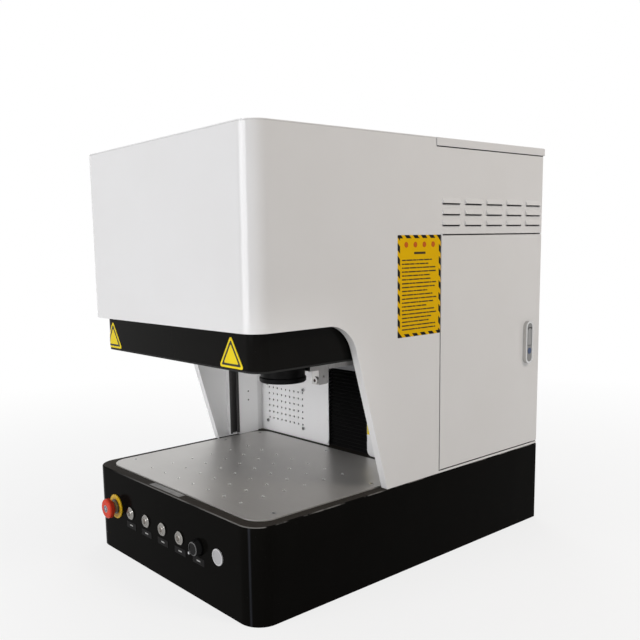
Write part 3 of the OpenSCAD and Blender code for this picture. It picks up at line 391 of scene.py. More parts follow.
SMEAR_TURN, SMEAR_SCALE = (0.4, 0.7, 0.5), (4.0, 22.0, 9.0)
SPECK_SCALE, SPECK_SIZE = 85.0, 0.045
soft_smears = Effect("soft_smears", ("Smear", "Speck"))
where = soft_smears.takes["Vector"]
slanted = soft_smears.node("Mapping", (("Vector", where), ("Rotation", SMEAR_TURN),
                                       ("Scale", SMEAR_SCALE)))
cells = soft_smears.node("TexVoronoi", (("Vector", where), ("Scale", SPECK_SCALE)))
soft_smears.give(Smear=soft_smears.noise(slanted["Vector"], 1.0, 4.0),
                 Speck=soft_smears.math("LESS_THAN", cells["Distance"], SPECK_SIZE))

cloth_weave = Effect("cloth_weave", ("Weave",), Threads=260.0)
woven = [("Vector", cloth_weave.takes["Vector"]), ("Scale", cloth_weave.takes["Threads"])]
threads = [cloth_weave.node("TexWave", woven, bands_direction=way)["Fac"] for way in ("X", "Z")]
cloth_weave.give(Weave=cloth_weave.math("MAXIMUM", *threads))
print("effects:", [group.name for group in bpy.data.node_groups])

# %% [markdown]
# ## Enamel and plastic
# A finish starts from Blender's own Principled shader. The hood is sprayed sheet: nearly white, with a
# faint mottle and an orange-peel skin that breaks up its highlights. The lifting door and the base are
# a deep gloss black. One recipe with a mottle and a peel serves enamel and moulded plastic, with other
# colours and sizes.


# %% Enamel finishes
class Finish(Nodes):
    """A material in the making, with its shader and its Object coordinates."""

    def __init__(self, name, **values):
        self.material = bpy.data.materials.new(name)
        self.material.use_nodes = True
        super().__init__(self.material.node_tree)
        self.shader = self.tree.nodes["Principled BSDF"]
        self.where = self.node("TexCoord")["Object"]
        self.set(**values)

    def set(self, **values):
        """Sets or links the shader's inputs, with _ for a space in their names."""
        for title, value in values.items():
            self.feed(self.shader.inputs[title.replace("_", " ")], value)

    def effect(self, effect, **values):
        """Places a shared effect on Object coordinates and gives back its outputs."""
        inputs = [(title.replace("_", " "), value) for title, value in values.items()]
        return self.node("Group", [("Vector", self.where), *inputs], node_tree=effect.tree)

    def plan(self):
        """The parts of the piece's own UV map, in metres on its face."""
        return self.axes(self.node("UVMap", uv_map="plan")["UV"])

    def bump(self, height, strength, distance=0.0002):
        """A Bump node on the shader's normal."""
        self.set(Normal=self.node("Bump", (("Strength", strength), ("Distance", distance),
                                           ("Height", height)))["Normal"])


def enamel(name, pale, deep, smooth, dull, peel=0.12, peel_size=700.0, **values):
    """Enamel or plastic: the mottle sets the colour, deep to pale, and roughness, smooth to dull."""
    finish = Finish(name, **values)
    skin = finish.effect(enamel_skin, Peel_size=peel_size)
    finish.set(Base_Color=finish.mix(skin["Mottle"], deep, pale),
               Roughness=finish.spread(skin["Mottle"], smooth, dull))
    finish.bump(skin["Peel"], peel)
    return finish.material


white_enamel = enamel("white_enamel", (0.83, 0.83, 0.835), (0.79, 0.785, 0.78), 0.09, 0.13)
# Painted light: the next white is a paler copy of the white enamel, for the walls inside the chamber.
chamber_white_lit = enamel("chamber_white_lit", (0.93, 0.93, 0.935), (0.90, 0.895, 0.89), 0.16, 0.24)
grey_enamel = enamel("grey_enamel", (0.28, 0.29, 0.31), (0.24, 0.25, 0.27), 0.38, 0.5)
satin_black = enamel("satin_black", (0.016, 0.016, 0.017), (0.010, 0.010, 0.011), 0.35, 0.48,
                     Specular_IOR_Level=0.25)
moulded_black = enamel("moulded_black", (0.020, 0.020, 0.020), (0.012, 0.012, 0.012), 0.30, 0.42,
                       0.2, 1500.0)
red_plastic = enamel("red_plastic", (0.74, 0.060, 0.025), (0.64, 0.045, 0.018), 0.24, 0.34, 0.08, 900.0,
                     Specular_IOR_Level=0.1)
yellow_plastic = enamel("yellow_plastic", (0.78, 0.50, 0.012), (0.68, 0.42, 0.010), 0.30, 0.4,
                        Specular_IOR_Level=0.25)
grey_plastic = enamel("grey_plastic", (0.42, 0.41, 0.39), (0.34, 0.33, 0.32), 0.35, 0.5)
dot_white = enamel("dot_white", (0.80, 0.80, 0.81), (0.72, 0.72, 0.73), 0.38, 0.5)
lens_black = enamel("lens_black", (0.0045, 0.0045, 0.0045), (0.003, 0.003, 0.003), 0.3, 0.42,
                    Specular_IOR_Level=0.07)
blue_plastic = enamel("blue_plastic", (0.012, 0.045, 0.15), (0.008, 0.03, 0.11), 0.2, 0.3)
rubber_black = enamel("rubber_black", (0.012, 0.012, 0.011), (0.008, 0.008, 0.008), 0.65, 0.8,
                      0.3, 1200.0, Specular_IOR_Level=0.25)


def gloss_black(name, level):
    """Gloss black in the making, with its smears, its colour with specks of dust, and its roughness."""
    finish = Finish(name, Specular_IOR_Level=level)
    smears = finish.effect(soft_smears)
    ground = finish.mix(smears["Smear"], (0.0036, 0.0034, 0.0030), (0.0056, 0.0053, 0.0047))
    colour = finish.mix(smears["Speck"], ground, (0.02, 0.02, 0.02))
    return finish, smears["Smear"], colour, finish.spread(smears["Smear"], 0.05, 0.14)


door, _, colour, gloss = gloss_black("door_black", 0.035)
door.set(Base_Color=colour, Roughness=gloss)
door_black = door.material
print("enamels:", len(bpy.data.materials))

# %% [markdown]
# ## The base's dust and painted highlights
# The base is the same gloss black, but not all over. Dust makes its flat rim dull and brownish. A broken
# pale line along the bend at the top, fading out towards the left, is a painted highlight, and so is a
# fine pale line down each front corner. The finish finds these places from Object coordinates: height
# for the rim and the bend, and the angle about the corner's axis for the corner's line.

# %% Base finish
CORNER_RADIUS, CORNER_HIGHLIGHT_ANGLE, CORNER_HIGHLIGHT_WIDTH = 0.040, np.radians(30), 0.075
BEND_HIGHLIGHT_HEIGHT, BEND_HIGHLIGHT_FROM, RIM_HEIGHT, RIM_DULL = 0.00165, (-0.20, -0.05), 0.0002, 0.4
base, smear, colour, gloss = gloss_black("base_black", 0.009)
x, y, z = base.axes(base.where)

# Painted highlight: a fine pale line down each front corner, at a set angle about the corner's axis.
past_x = base.math("SUBTRACT", base.math("ABSOLUTE", x), side_x - CORNER_RADIUS)
past_y = base.math("SUBTRACT", front_y + CORNER_RADIUS, y)
turn = base.math("ARCTAN2", past_x, past_y)
off_line = base.math("ABSOLUTE", base.math("SUBTRACT", turn, CORNER_HIGHLIGHT_ANGLE))
on_corner = base.math("GREATER_THAN", base.math("MINIMUM", past_x, past_y), 0.0)
corner_highlight = base.both(base.spread(off_line, 1.0, 0.0, 0.0, CORNER_HIGHLIGHT_WIDTH), on_corner)
corner_highlight = base.both(corner_highlight, base.spread(smear, 0.5, 1.0))
colour = base.mix(corner_highlight, colour, (0.032, 0.034, 0.041))

# Painted highlight: a broken pale line along the bend at the top, fading out towards the left.
bend_highlight = base.both(base.math("GREATER_THAN", z, deck_z - BEND_HIGHLIGHT_HEIGHT),
                 base.spread(smear, 0.0, 1.0, 0.47, 0.57))
bend_highlight = base.both(bend_highlight, base.spread(x, 0.0, 1.0, *BEND_HIGHLIGHT_FROM))
colour = base.mix(bend_highlight, colour, (0.175, 0.170, 0.163))

on_rim = base.math("GREATER_THAN", z, deck_z - RIM_HEIGHT)
dust = base.mix(base.effect(enamel_skin, Peel_size=420.0)["Peel"],
                (0.030, 0.0265, 0.0230), (0.064, 0.0575, 0.0510))
base.set(Base_Color=base.mix(on_rim, colour, dust),
         Roughness=base.math("ADD", gloss, base.math("MULTIPLY", on_rim, RIM_DULL)))
base_black = base.material
print("base finish:", len(base.tree.nodes), "nodes")

# %% [markdown]
# ## Metals
# The table is brushed stainless plate: fine lines run from side to side and spread its reflections
# along the depth. Extruded and machined aluminium, plated screws and chrome use the same lines at other
# strengths.

# %% Metal finishes
DRAWN, EVEN = (900.0, 900.0, 8.0), (500.0, 500.0, 500.0)


def metal(name, pale, deep, smooth, dull, stretch_by, relief=0.06):
    """Metal with brushed lines: colour and roughness follow the lines, and a cloud adds slow change."""
    finish = Finish(name, Metallic=1.0)
    lines = finish.effect(brushed_lines, Stretch=stretch_by)
    cloud = finish.spread(lines["Cloud"], -0.04, 0.04)
    finish.set(Base_Color=finish.mix(lines["Line"], deep, pale),
               Roughness=finish.math("ADD", finish.spread(lines["Line"], smooth, dull), cloud))
    finish.bump(lines["Line"], relief)
    return finish.material


screw_steel = metal("screw_steel", (0.62, 0.62, 0.62), (0.50, 0.50, 0.50), 0.22, 0.34, EVEN)
rim_steel = metal("rim_steel", (0.97, 0.96, 0.94), (0.88, 0.87, 0.85), 0.2, 0.3, EVEN)
bright_alu = metal("bright_alu", (0.74, 0.74, 0.75), (0.62, 0.62, 0.63), 0.28, 0.42, DRAWN)
dark_alu = metal("dark_alu", (0.16, 0.16, 0.165), (0.10, 0.10, 0.105), 0.30, 0.45, DRAWN)
bracket_alu = metal("bracket_alu", (0.60, 0.59, 0.58), (0.47, 0.46, 0.45), 0.28, 0.42, DRAWN)
zinc_plate = metal("zinc_plate", (0.45, 0.45, 0.46), (0.34, 0.34, 0.35), 0.38, 0.55,
                   (70.0, 70.0, 70.0), 0.02)
chrome = metal("chrome", (0.33, 0.32, 0.305), (0.25, 0.24, 0.225), 0.08, 0.16, (60.0, 60.0, 60.0), 0.01)
satin_chrome = metal("satin_chrome", (0.31, 0.305, 0.30), (0.22, 0.215, 0.21), 0.18, 0.28,
                     (400.0, 400.0, 20.0))
guard_wire = metal("guard_wire", (0.30, 0.30, 0.31), (0.22, 0.22, 0.23), 0.3, 0.4, (300.0, 300.0, 300.0))
print("enamels and metals:", len(bpy.data.materials))

# %% [markdown]
# ## The table's steel
# The table is a brushed plate that has been used: its shine is broken by fine scratches, so it is half
# dull grey and half mirror. The tapped holes get painted shade: the finish colours their walls dark. It
# finds them by the distance to the nearest point of the grid of holes, which a triangle wave of the
# plate's x and y gives.

# %% Table finish
HOLE_RADIUS, HOLE_PITCH, HOLE_MARGIN = 0.0025, 0.050, 0.0435
HOLE_COLUMNS, HOLE_ROWS, WALL_SHARE = 7, 6, 1.04
table_low, table_high = box("work_table")
first_row = table_low[1] + HOLE_MARGIN
table = Finish("table_steel", Metallic=0.55)
lines = table.effect(brushed_lines, Stretch=(3.0, 900.0, 900.0))
x, y, _ = table.axes(table.where)
off_x = table.math("PINGPONG", x, HOLE_PITCH / 2)
off_y = table.math("PINGPONG", table.math("SUBTRACT", y, first_row), HOLE_PITCH / 2)
hole_shade_mask = table.math("LESS_THAN", table.square(off_x, off_y), (WALL_SHARE * HOLE_RADIUS) ** 2)
in_grid = table.both(table.within(x, 0.0, HOLE_COLUMNS / 2 * HOLE_PITCH),
                     table.math("LESS_THAN", y, first_row + (HOLE_ROWS - 0.5) * HOLE_PITCH))
tone = table.mix(lines["Line"], (0.52, 0.505, 0.485), (0.64, 0.625, 0.605))
# Painted shade: the walls of the tapped holes are coloured dark.
table.set(Base_Color=table.mix(table.both(hole_shade_mask, in_grid), tone, (0.03, 0.03, 0.03)),
          Roughness=table.math("ADD", table.spread(lines["Line"], 0.33, 0.43),
                               table.spread(lines["Cloud"], -0.03, 0.03)))
table.bump(lines["Line"], 0.02)
table_steel = table.material
print("table finish:", len(table.tree.nodes), "nodes")

# %% [markdown]
# ## Finishes that change with the place
# Some solids are not the same all over. The door's guide channels are dark inside, with a white front
# edge. The left back wall has painted shade behind the cover's holes: a dark patch in its colour. The
# plug's rim is paler than its face. The lock's rim is paler than its face, a painted highlight, and the
# knob's moulded edge has a painted highlight: a grey line. The stop's collar is one moulding with a
# black seat and a neck of pale metal. Each mask is a plain comparison of Object coordinates.


# %% Masked finishes
def two_tone(name, is_second, first, second, roughness, **values):
    """An enamel whose mask turns the first colour to the second.

    The mask is a function of the finish and its x, y and z.
    """
    finish = Finish(name, Roughness=roughness, **values)
    skin = finish.effect(enamel_skin)
    shade = tuple(0.88 * part for part in first)
    mottled = finish.mix(skin["Mottle"], shade, first)
    finish.set(Base_Color=finish.mix(is_second(finish, *finish.axes(finish.where)), mottled, second))
    finish.bump(skin["Peel"], 0.1)
    return finish.material


CHANNEL_EDGE = box("door_rails")[0][1] + 0.0004
guide_channel = two_tone("guide_channel", lambda f, x, y, z: f.math("LESS_THAN", y, CHANNEL_EDGE),
                         (0.055, 0.053, 0.053), (0.80, 0.80, 0.80), 0.35, Specular_IOR_Level=0.3)

# Painted shade: a dark patch on the left back wall behind the cover's holes. Its white is the chamber's
# paler copy, painted light.
SHADE_HALF_WIDTH, SHADE_HALF_HEIGHT = 0.066, 0.044
vent = middle("cover_screws")
vent_wall_shade = two_tone("vent_wall_shade", lambda f, x, y, z: f.both(
    f.within(x, vent[0], SHADE_HALF_WIDTH), f.within(z, vent[2], SHADE_HALF_HEIGHT)),
    (0.93, 0.93, 0.93), (0.02, 0.02, 0.02), 0.2)

PLUG_RIM = 0.0023
plug_low, plug_high = box("hole_plug")
plug_face = (plug_high[0] - plug_low[0]) / 2 - PLUG_RIM
plug_white = two_tone("plug_white", lambda f, x, y, z: f.beyond(
    x, z, middle("hole_plug")[[0, 2]], plug_face),
    (0.48, 0.48, 0.49), (0.62, 0.62, 0.63), 0.4, Specular_IOR_Level=0.3)

LOCK_RIM = 0.0040
lock_low, lock_high = box("lock_body")
lock, lock_half = middle("lock_body"), (lock_high - lock_low) / 2


def past_straight(finish, z):
    """How far a point of the lock is past its straight part, towards a round end."""
    off_middle = finish.math("ABSOLUTE", finish.math("SUBTRACT", z, lock[2]))
    return finish.math("MAXIMUM", finish.math("SUBTRACT", off_middle, lock_half[2] - lock_half[1]), 0.0)


# Painted highlight: the lock's rim is paler than its face.
lock_chrome = two_tone("lock_chrome", lambda f, x, y, z: f.beyond(
    y, past_straight(f, z), (lock[1], 0.0), lock_half[1] - LOCK_RIM),
    (0.22, 0.215, 0.21), (0.56, 0.555, 0.55), 0.2, Metallic=1.0)

# Painted highlight: a grey line on the knob's front edge, round its dish.
KNOB_DISH, KNOB_EDGE = 0.0108, box("knob")[0][1] + 0.0008
knob_gloss = two_tone("knob_gloss", lambda f, x, y, z: f.both(
    f.beyond(x, z, (control_x[-1], control_z), KNOB_DISH), f.math("LESS_THAN", y, KNOB_EDGE)),
    (0.006, 0.006, 0.006), (0.16, 0.16, 0.16), 0.12, Specular_IOR_Level=0.06)

COLLAR_NECK = 0.0123
stop = middle("estop_head")
collar = Finish("collar_grey", Roughness=0.3)
x, _, z = collar.axes(collar.where)
on_seat = collar.beyond(x, z, stop[[0, 2]], COLLAR_NECK)
neck = collar.mix(collar.effect(enamel_skin)["Mottle"], (0.30, 0.27, 0.23), (0.42, 0.39, 0.34))
collar.set(Base_Color=collar.mix(on_seat, neck, (0.006, 0.006, 0.006)),
           Metallic=collar.math("SUBTRACT", 1.0, on_seat))
collar_grey = collar.material
print("with masked finishes:", len(bpy.data.materials))

# %% [markdown]
# ## Cloth and glass
# The bellows are coated cloth, almost black, with a weave that only shows close up. The lens has a dark
# coated face: a thin, very smooth coat over a deep violet ground.

# %% Cloth and lens finishes
cloth = Finish("bellows_cloth", Specular_IOR_Level=0.08)
weave = cloth.effect(cloth_weave)["Weave"]
cloth.set(Base_Color=cloth.mix(weave, (0.006, 0.006, 0.006), (0.012, 0.012, 0.012)),
          Roughness=cloth.spread(weave, 0.6, 0.8, 0.0, 1.0))
cloth.bump(weave, 0.2, 0.0003)
bellows_cloth = cloth.material

glass = Finish("lens_coating", Coat_Weight=1.0, Coat_Roughness=0.03)
smear = glass.effect(soft_smears)["Smear"]
glass.set(Base_Color=glass.mix(smear, (0.018, 0.008, 0.035), (0.010, 0.014, 0.045)),
          Roughness=glass.spread(smear, 0.05, 0.12))
lens_coating = glass.material
print("with cloth and glass:", len(bpy.data.materials))

# %% [markdown]
# ## A finish for every solid
# Each solid takes one finish. The solids keep their own meshes, and modifiers do the rest. They come as
# loose triangles, so a Weld joins them, and a small set of geometry nodes shades round faces smooth and
# keeps true edges sharp. Sheet metal has no knife edges, so a Bevel rounds the edges of the sheets and
# castings a little, which gives the fine bright lines along folds. A Weighted Normal keeps the flats
# flat.

# %% Dress the solids
FINISHES = {
    base_black: ["base_housing"],
    zinc_plate: ["base_floor", "table_bearers", "power_supply"],
    table_steel: ["work_table"],
    white_enamel: ["hood_shell", "hood_top", "vent_louvres", "top_lid", "rear_panel", "service_door"],
    chamber_white_lit: ["back_wall_right", "exhaust_cover", "rail_posts"],
    vent_wall_shade: ["back_wall_left"],
    screw_steel: ["table_screws", "cover_screws", "hinge_pins", "z_rails", "z_screw", "door_sliders"],
    guide_channel: ["door_rails"],
    dark_alu: ["laser_source", "control_box", "galvo_box", "beam_tube", "z_carriage"],
    bright_alu: ["lift_cylinders", "lift_rods"],
    bracket_alu: ["pointer_bracket", "pointer", "head_arm"],
    door_black: ["door_shroud"],
    rubber_black: ["door_seal"],
    grey_enamel: ["z_column", "exhaust_duct"],
    satin_black: ["z_motor", "z_blocks", "exhaust_fan"],
    lens_black: ["scan_lens"],
    bellows_cloth: ["bellows_lower", "bellows_upper"],
    moulded_black: ["fan_rotor", "mains_inlet"],
    knob_gloss: ["knob"],
    guard_wire: ["outlet_guard"],
    yellow_plastic: ["estop_ring"],
    collar_grey: ["estop_collar"],
    grey_plastic: ["estop_stem"],
    red_plastic: ["estop_head"],
    chrome: ["button_bezels", *BUTTONS],
    plug_white: ["hole_plug"],
    lock_chrome: ["lock_body"],
    satin_chrome: ["lock_handle"],
    blue_plastic: ["lock_button"],
}
SOFT_EDGES = {
    "vent_louvres": 0.0010, "hood_shell": 0.0009, "hood_top": 0.0009, "top_lid": 0.0012,
    "service_door": 0.0012, "door_shroud": 0.0009, "exhaust_cover": 0.0008, "back_wall_right": 0.0008,
    "lock_body": 0.0024, "lock_handle": 0.0012, "z_carriage": 0.001, "head_arm": 0.001,
    "pointer_bracket": 0.001, "rear_panel": 0.0008, "hole_plug": 0.0006, "estop_ring": 0.0006,
    "galvo_box": 0.001,
}
SHARP_ANGLE, BEVEL_ANGLE = np.radians(35), np.radians(40)
BEVEL_STEPS, WELD_REACH, FLAT_WEIGHT = 3, 1e-6, 90


def smoothing_group(limit):
    """Geometry nodes that shade faces smooth, but keep edges sharp where faces meet past the limit."""
    group = bpy.data.node_groups.new("smooth_by_angle", "GeometryNodeTree")
    for way in ("INPUT", "OUTPUT"):
        group.interface.new_socket(name="Geometry", in_out=way, socket_type="NodeSocketGeometry")
    start, end = group.nodes.new("NodeGroupInput"), group.nodes.new("NodeGroupOutput")
    faces, edges = (group.nodes.new("GeometryNodeSetShadeSmooth") for _ in range(2))
    faces.domain, edges.domain = "FACE", "EDGE"
    edges.inputs["Shade Smooth"].default_value = False
    bend = group.nodes.new("GeometryNodeInputMeshEdgeAngle")
    sharp = group.nodes.new("FunctionNodeCompare")
    sharp.operation = "GREATER_THAN"
    sharp.inputs[1].default_value = limit
    for source, target in ((start.outputs[0], faces.inputs["Geometry"]),
                           (faces.outputs[0], edges.inputs["Geometry"]),
                           (bend.outputs["Unsigned Angle"], sharp.inputs[0]),
                           (sharp.outputs[0], edges.inputs["Selection"]),
                           (edges.outputs[0], end.inputs[0])):
        group.links.new(source, target)
    return group


smooth_by_angle = smoothing_group(SHARP_ANGLE)


def dress(solid, finish, edge_width):
    """Gives a solid its finish and its live modifiers, with a bevel where an edge width is given."""
    if not solid.material_slots:
        solid.data.materials.append(finish)
    for material_slot in solid.material_slots:
        material_slot.material = finish
    solid.modifiers.new("join", "WELD").merge_threshold = WELD_REACH
    solid.modifiers.new("smooth", "NODES").node_group = smooth_by_angle
    if edge_width:
        bevel = solid.modifiers.new("soft_edge", "BEVEL")
        bevel.width, bevel.segments = edge_width, BEVEL_STEPS
        bevel.limit_method, bevel.angle_limit = "ANGLE", BEVEL_ANGLE
    weighted = solid.modifiers.new("flat_faces", "WEIGHTED_NORMAL")
    weighted.keep_sharp, weighted.weight = True, FLAT_WEIGHT


finish_of = {name: finish for finish, names in FINISHES.items() for name in names}
for name, finish in finish_of.items():
    dress(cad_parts[name], finish, SOFT_EDGES.get(name))
left = sorted(set(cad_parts) - set(finish_of))
print("dressed", len(finish_of), "of", len(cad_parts), "left", left)

# %% [markdown]
# ## Bellows
# Folded cloth closes the slot in the back wall below and above the carriage. On the machine it folds up
# as the carriage comes near and stretches as it leaves. The solids are stiff, so each is replaced by a
# cloth piece. A squash would flatten it at both limits alike. Each piece is given the frame and the
# head, and the heights where it leaves one and reaches the other; the script sets no blend between them.

# %% Folded cloth
LOWER_PLEATS, UPPER_PLEATS = 22, 40
STEPS_PER_PLEAT = 10
FOLD_SHARPNESS = 0.985
CLOTH = 0.0012


def pleated_cloth(low, high, pleats):
    """Folded cloth in a box, and the length of its run.

    The depth is arcsin(k cos(phase)) / arcsin(k), a triangle wave with rounded folds. Each layer is a
    rectangle as wide as the box and as thick as the cloth.
    """
    steps = pleats * STEPS_PER_PLEAT + 1
    phase = np.linspace(0, 2 * np.pi * pleats, steps)
    fold = np.arcsin(FOLD_SHARPNESS * np.cos(phase)) / np.arcsin(FOLD_SHARPNESS)
    front = low[1] + (high[1] - low[1] - CLOTH) * (1 + fold) / 2
    height = np.linspace(low[2], high[2], steps)
    corners = ((low[0], front), (high[0], front), (high[0], front + CLOTH), (low[0], front + CLOTH))
    rings = np.stack([np.stack([np.full(steps, x), y, height], axis=-1) for x, y in corners], axis=1)
    return ring_stack(rings), float(np.hypot(np.diff(front), np.diff(height)).sum())


for level, pleats, rests_on in (("lower", LOWER_PLEATS, ["base_housing", "z_carriage"]),
                                ("upper", UPPER_PLEATS, ["top_lid", "z_carriage"])):
    low, high = box(f"bellows_{level}")
    surface, run = pleated_cloth(low, high, pleats)
    still, moving = (low[2], high[2]) if level == "lower" else (high[2], low[2])
    sheet = add_piece(f"{level}_pleats", surface, bellows_cloth,
                      ("machine_frame", "scan_head", (0, 0, float(still)), (0, 0, float(moving))))
    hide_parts(f"bellows_{level}")
    print(level, "cloth", round(run, 3), "m long when flat")

# %% [markdown]
# ## Plates on the front panel
# Under each button and the knob sits a small dark plate with a paler bar across it. On the rim above
# lies a plain worn strip. The bar is drawn by the finish from the plate's own plan, because a raised
# bar would be thicker than the plate's print.

# %% Legend plates and rim strip
LEGEND_SIZE, LEGEND_DROP, BAR_HALF = (0.036, 0.013), 0.0250, (0.0056, 0.0012)
legend = Finish("legend_plate", Roughness=0.4, Specular_IOR_Level=0.03)
u, v, _ = legend.plan()
on_bar = legend.both(legend.within(u, 0.0, BAR_HALF[0]), legend.within(v, 0.0, BAR_HALF[1]))
ground = legend.mix(legend.effect(enamel_skin, Peel_size=900.0)["Mottle"],
                    (0.008, 0.008, 0.008), (0.014, 0.013, 0.013))
legend.set(Base_Color=legend.mix(on_bar, ground, (0.40, 0.40, 0.39)))
surfaces, plans = zip(*(plate(oblong(*LEGEND_SIZE), 0.0012, 0.0008, on_front(x, control_z - LEGEND_DROP))
                        for x in control_x))
add_piece("legend_plates", join_surfaces(surfaces), legend.material,
          plan=np.vstack(plans))

STRIP_SIZE, STRIP_X, STRIP_INSET = (0.104, 0.014), -0.007, 0.0125
strip = Finish("worn_strip", Roughness=0.35, Specular_IOR_Level=0.2)
wear = strip.spread(strip.effect(enamel_skin, Peel_size=26.0)["Peel"], 0.0, 1.0)
strip.set(Base_Color=strip.mix(wear, (0.06, 0.058, 0.055), (0.30, 0.295, 0.285)))
surface, _ = plate(oblong(*STRIP_SIZE), 0.001, 0.0005, on_top(STRIP_X, front_y + STRIP_INSET, deck_z))
add_piece("rim_strip", surface, strip.material)

# %% [markdown]
# ## Buttons, stop and knob
# The plated buttons are slightly domed, so each gets a crown: a surface of revolution whose height
# falls off with the square of the radius. Its middle is duller, with a fine dark ring, which the finish
# draws from the distance to the crown's centre. The stop has a pale disc with a ring on its head, and
# the knob a white dot on its nose.

# %% Crowns
CAP_MIDDLE, CAP_RING, CAP_LINE = 0.0058, 0.0036, 0.0005
CROWN_INSET, CROWN_RISE = 0.0012, 0.0014
cap = Finish("cap_chrome", Metallic=1.0)
u, v, _ = cap.plan()
cap_r = cap.math("SQRT", cap.square(u, v))
in_middle = cap.math("LESS_THAN", cap_r, CAP_MIDDLE)
tone = cap.mix(cap.effect(brushed_lines, Stretch=(300.0, 300.0, 300.0))["Line"],
               (0.25, 0.24, 0.225), (0.36, 0.345, 0.325))
tone = cap.mix(in_middle, tone, (0.19, 0.17, 0.15))
cap.set(Base_Color=cap.mix(cap.within(cap_r, CAP_RING, CAP_LINE), tone, (0.07, 0.065, 0.06)),
        Roughness=cap.spread(in_middle, 0.12, 0.38, 0.0, 1.0))


def dome(radius, rise, shares):
    """Profile of a shallow dome: at each share s of the radius the height is rise (1 - s s)."""
    return np.stack([radius * shares, rise * (1 - shares ** 2)], axis=1)


for name, x in zip(BUTTONS, control_x):
    low, high = box(name)
    radius = (high[0] - low[0]) / 2 - CROWN_INSET
    profile = np.vstack([[radius, -0.0002], dome(radius, CROWN_RISE, np.linspace(1.0, 0.04, 9))])
    surface, plan = turned(profile, on_front(x, control_z, low[1]))
    add_piece(f"{name}_crown", surface, cap.material, "push_" + name, plan, True)

# %% Disc and dot
NOSE_REACH, NOSE_ANGLE = 0.016, np.radians(222)
DISC = [(0.0074, -0.0002), (0.0074, 0.0003), (0.0068, 0.0006), (0.0005, 0.0006)]
RING = [(0.0056, 0.0004), (0.0056, 0.0008), (0.0036, 0.0008), (0.0036, 0.0004), (0.0056, 0.0004)]
DOT = [(0.0017, -0.0002), (0.0017, 0.0002), (0.0013, 0.0004), (0.0002, 0.0004)]
stop_seat = on_front(stop[0], control_z, box("estop_head")[0][1])
add_piece("stop_disc", turned(DISC, stop_seat)[0], grey_plastic, "stop_head")
add_piece("stop_disc_ring", turned(RING, stop_seat, closed=False)[0], blue_plastic,
          "stop_head")
dot_seat = on_front(control_x[-1] + NOSE_REACH * np.cos(NOSE_ANGLE),
                    control_z + NOSE_REACH * np.sin(NOSE_ANGLE), box("knob")[0][1])
add_piece("knob_dot", turned(DOT, dot_seat, 24)[0], dot_white, "turn_knob")

# %% [markdown]
# ## Signs on the lifting door
# Two yellow triangles with rounded corners sit at the door's lower edge. They stay plain: a yellow
# plate with a dark line that follows its outline. The left one goes round the sheet's corner, so both
# are built flat and then bent round the corner as a sticker would be.

# %% Triangles
TRIANGLE = np.array([[-0.0335, 0.0], [0.0335, 0.0], [0.0, 0.0545]])
SIGN_LIFT, DOOR_CORNER, SIGN_POINTS = 0.0015, 0.028, 120
sign = Finish("sign_yellow", Roughness=0.4, Specular_IOR_Level=0.15)
sign.set(Base_Color=sign.mix(sign.effect(enamel_skin, Peel_size=500.0)["Mottle"],
                             (0.80, 0.61, 0.012), (0.88, 0.69, 0.020)))
door_low, door_high = box("door_shroud")
door_bend = (door_high[0] - DOOR_CORNER, DOOR_CORNER, door_low[1])
for side, x in (("right", 0.185), ("left", -0.2155)):
    seat = on_front(x, door_low[2] + SIGN_LIFT, door_low[1])
    surface, _ = plate(TRIANGLE, 0.0036, 0.0007, seat, 0.0002, SIGN_POINTS)
    line = frame_line(TRIANGLE, 0.0016, 0.0038, 0.0036, 0.0005, 0.0009, seat, SIGN_POINTS)
    add_piece(f"door_sign_{side}", bent_round(surface, *door_bend), sign.material,
              "lift_door")
    add_piece(f"door_sign_{side}_line", bent_round(line, *door_bend), satin_black,
              "lift_door")

# %% [markdown]
# ## The plate on the side
# A yellow plate on the hood's side has a striped edge and rows of fine lines. Here the stripes are
# slanted bands that the finish draws near the edge, and the rows are plain dark bars of uneven length,
# cut at uneven places, with four plain dots above them.

# %% Yellow plate
PLATE_SIZE, PLATE_Y, PLATE_Z = (0.120, 0.1835), -0.0005, 0.5373
STRIPE_BAND, STRIPE_STEP, STRIPE_SHARE = 0.0058, 0.0112, 0.42
side_plate = Finish("plate_yellow", Roughness=0.42, Specular_IOR_Level=0.05)
u, v, _ = side_plate.plan()
to_edge = [side_plate.math("SUBTRACT", size / 2, side_plate.math("ABSOLUTE", part))
           for size, part in zip(PLATE_SIZE, (u, v))]
near_edge = side_plate.math("LESS_THAN", side_plate.math("MINIMUM", *to_edge), STRIPE_BAND)
slope = side_plate.math("PINGPONG", side_plate.math("ADD", u, v), STRIPE_STEP)
stripe = side_plate.both(near_edge, side_plate.math("GREATER_THAN", slope, STRIPE_SHARE * STRIPE_STEP))
ground = side_plate.mix(side_plate.effect(enamel_skin, Peel_size=600.0)["Mottle"],
                        (0.86, 0.50, 0.002), (0.95, 0.58, 0.003))
side_plate.set(Base_Color=side_plate.mix(stripe, ground, (0.010, 0.010, 0.010)))
surface, plan = plate(oblong(*PLATE_SIZE), 0.0015, 0.0006, on_side(PLATE_Y, PLATE_Z), 0.0002)
add_piece("side_plate", surface, side_plate.material, plan=plan)


# %% Bars and dots on the plate
def bar(u, v, width, height, radius):
    """A flat bar on the side plate, centred at (u, v) from the plate's middle."""
    return plate(oblong(width, height), radius, 0.0008, on_side(PLATE_Y + u, PLATE_Z + v), 0.0001)[0]


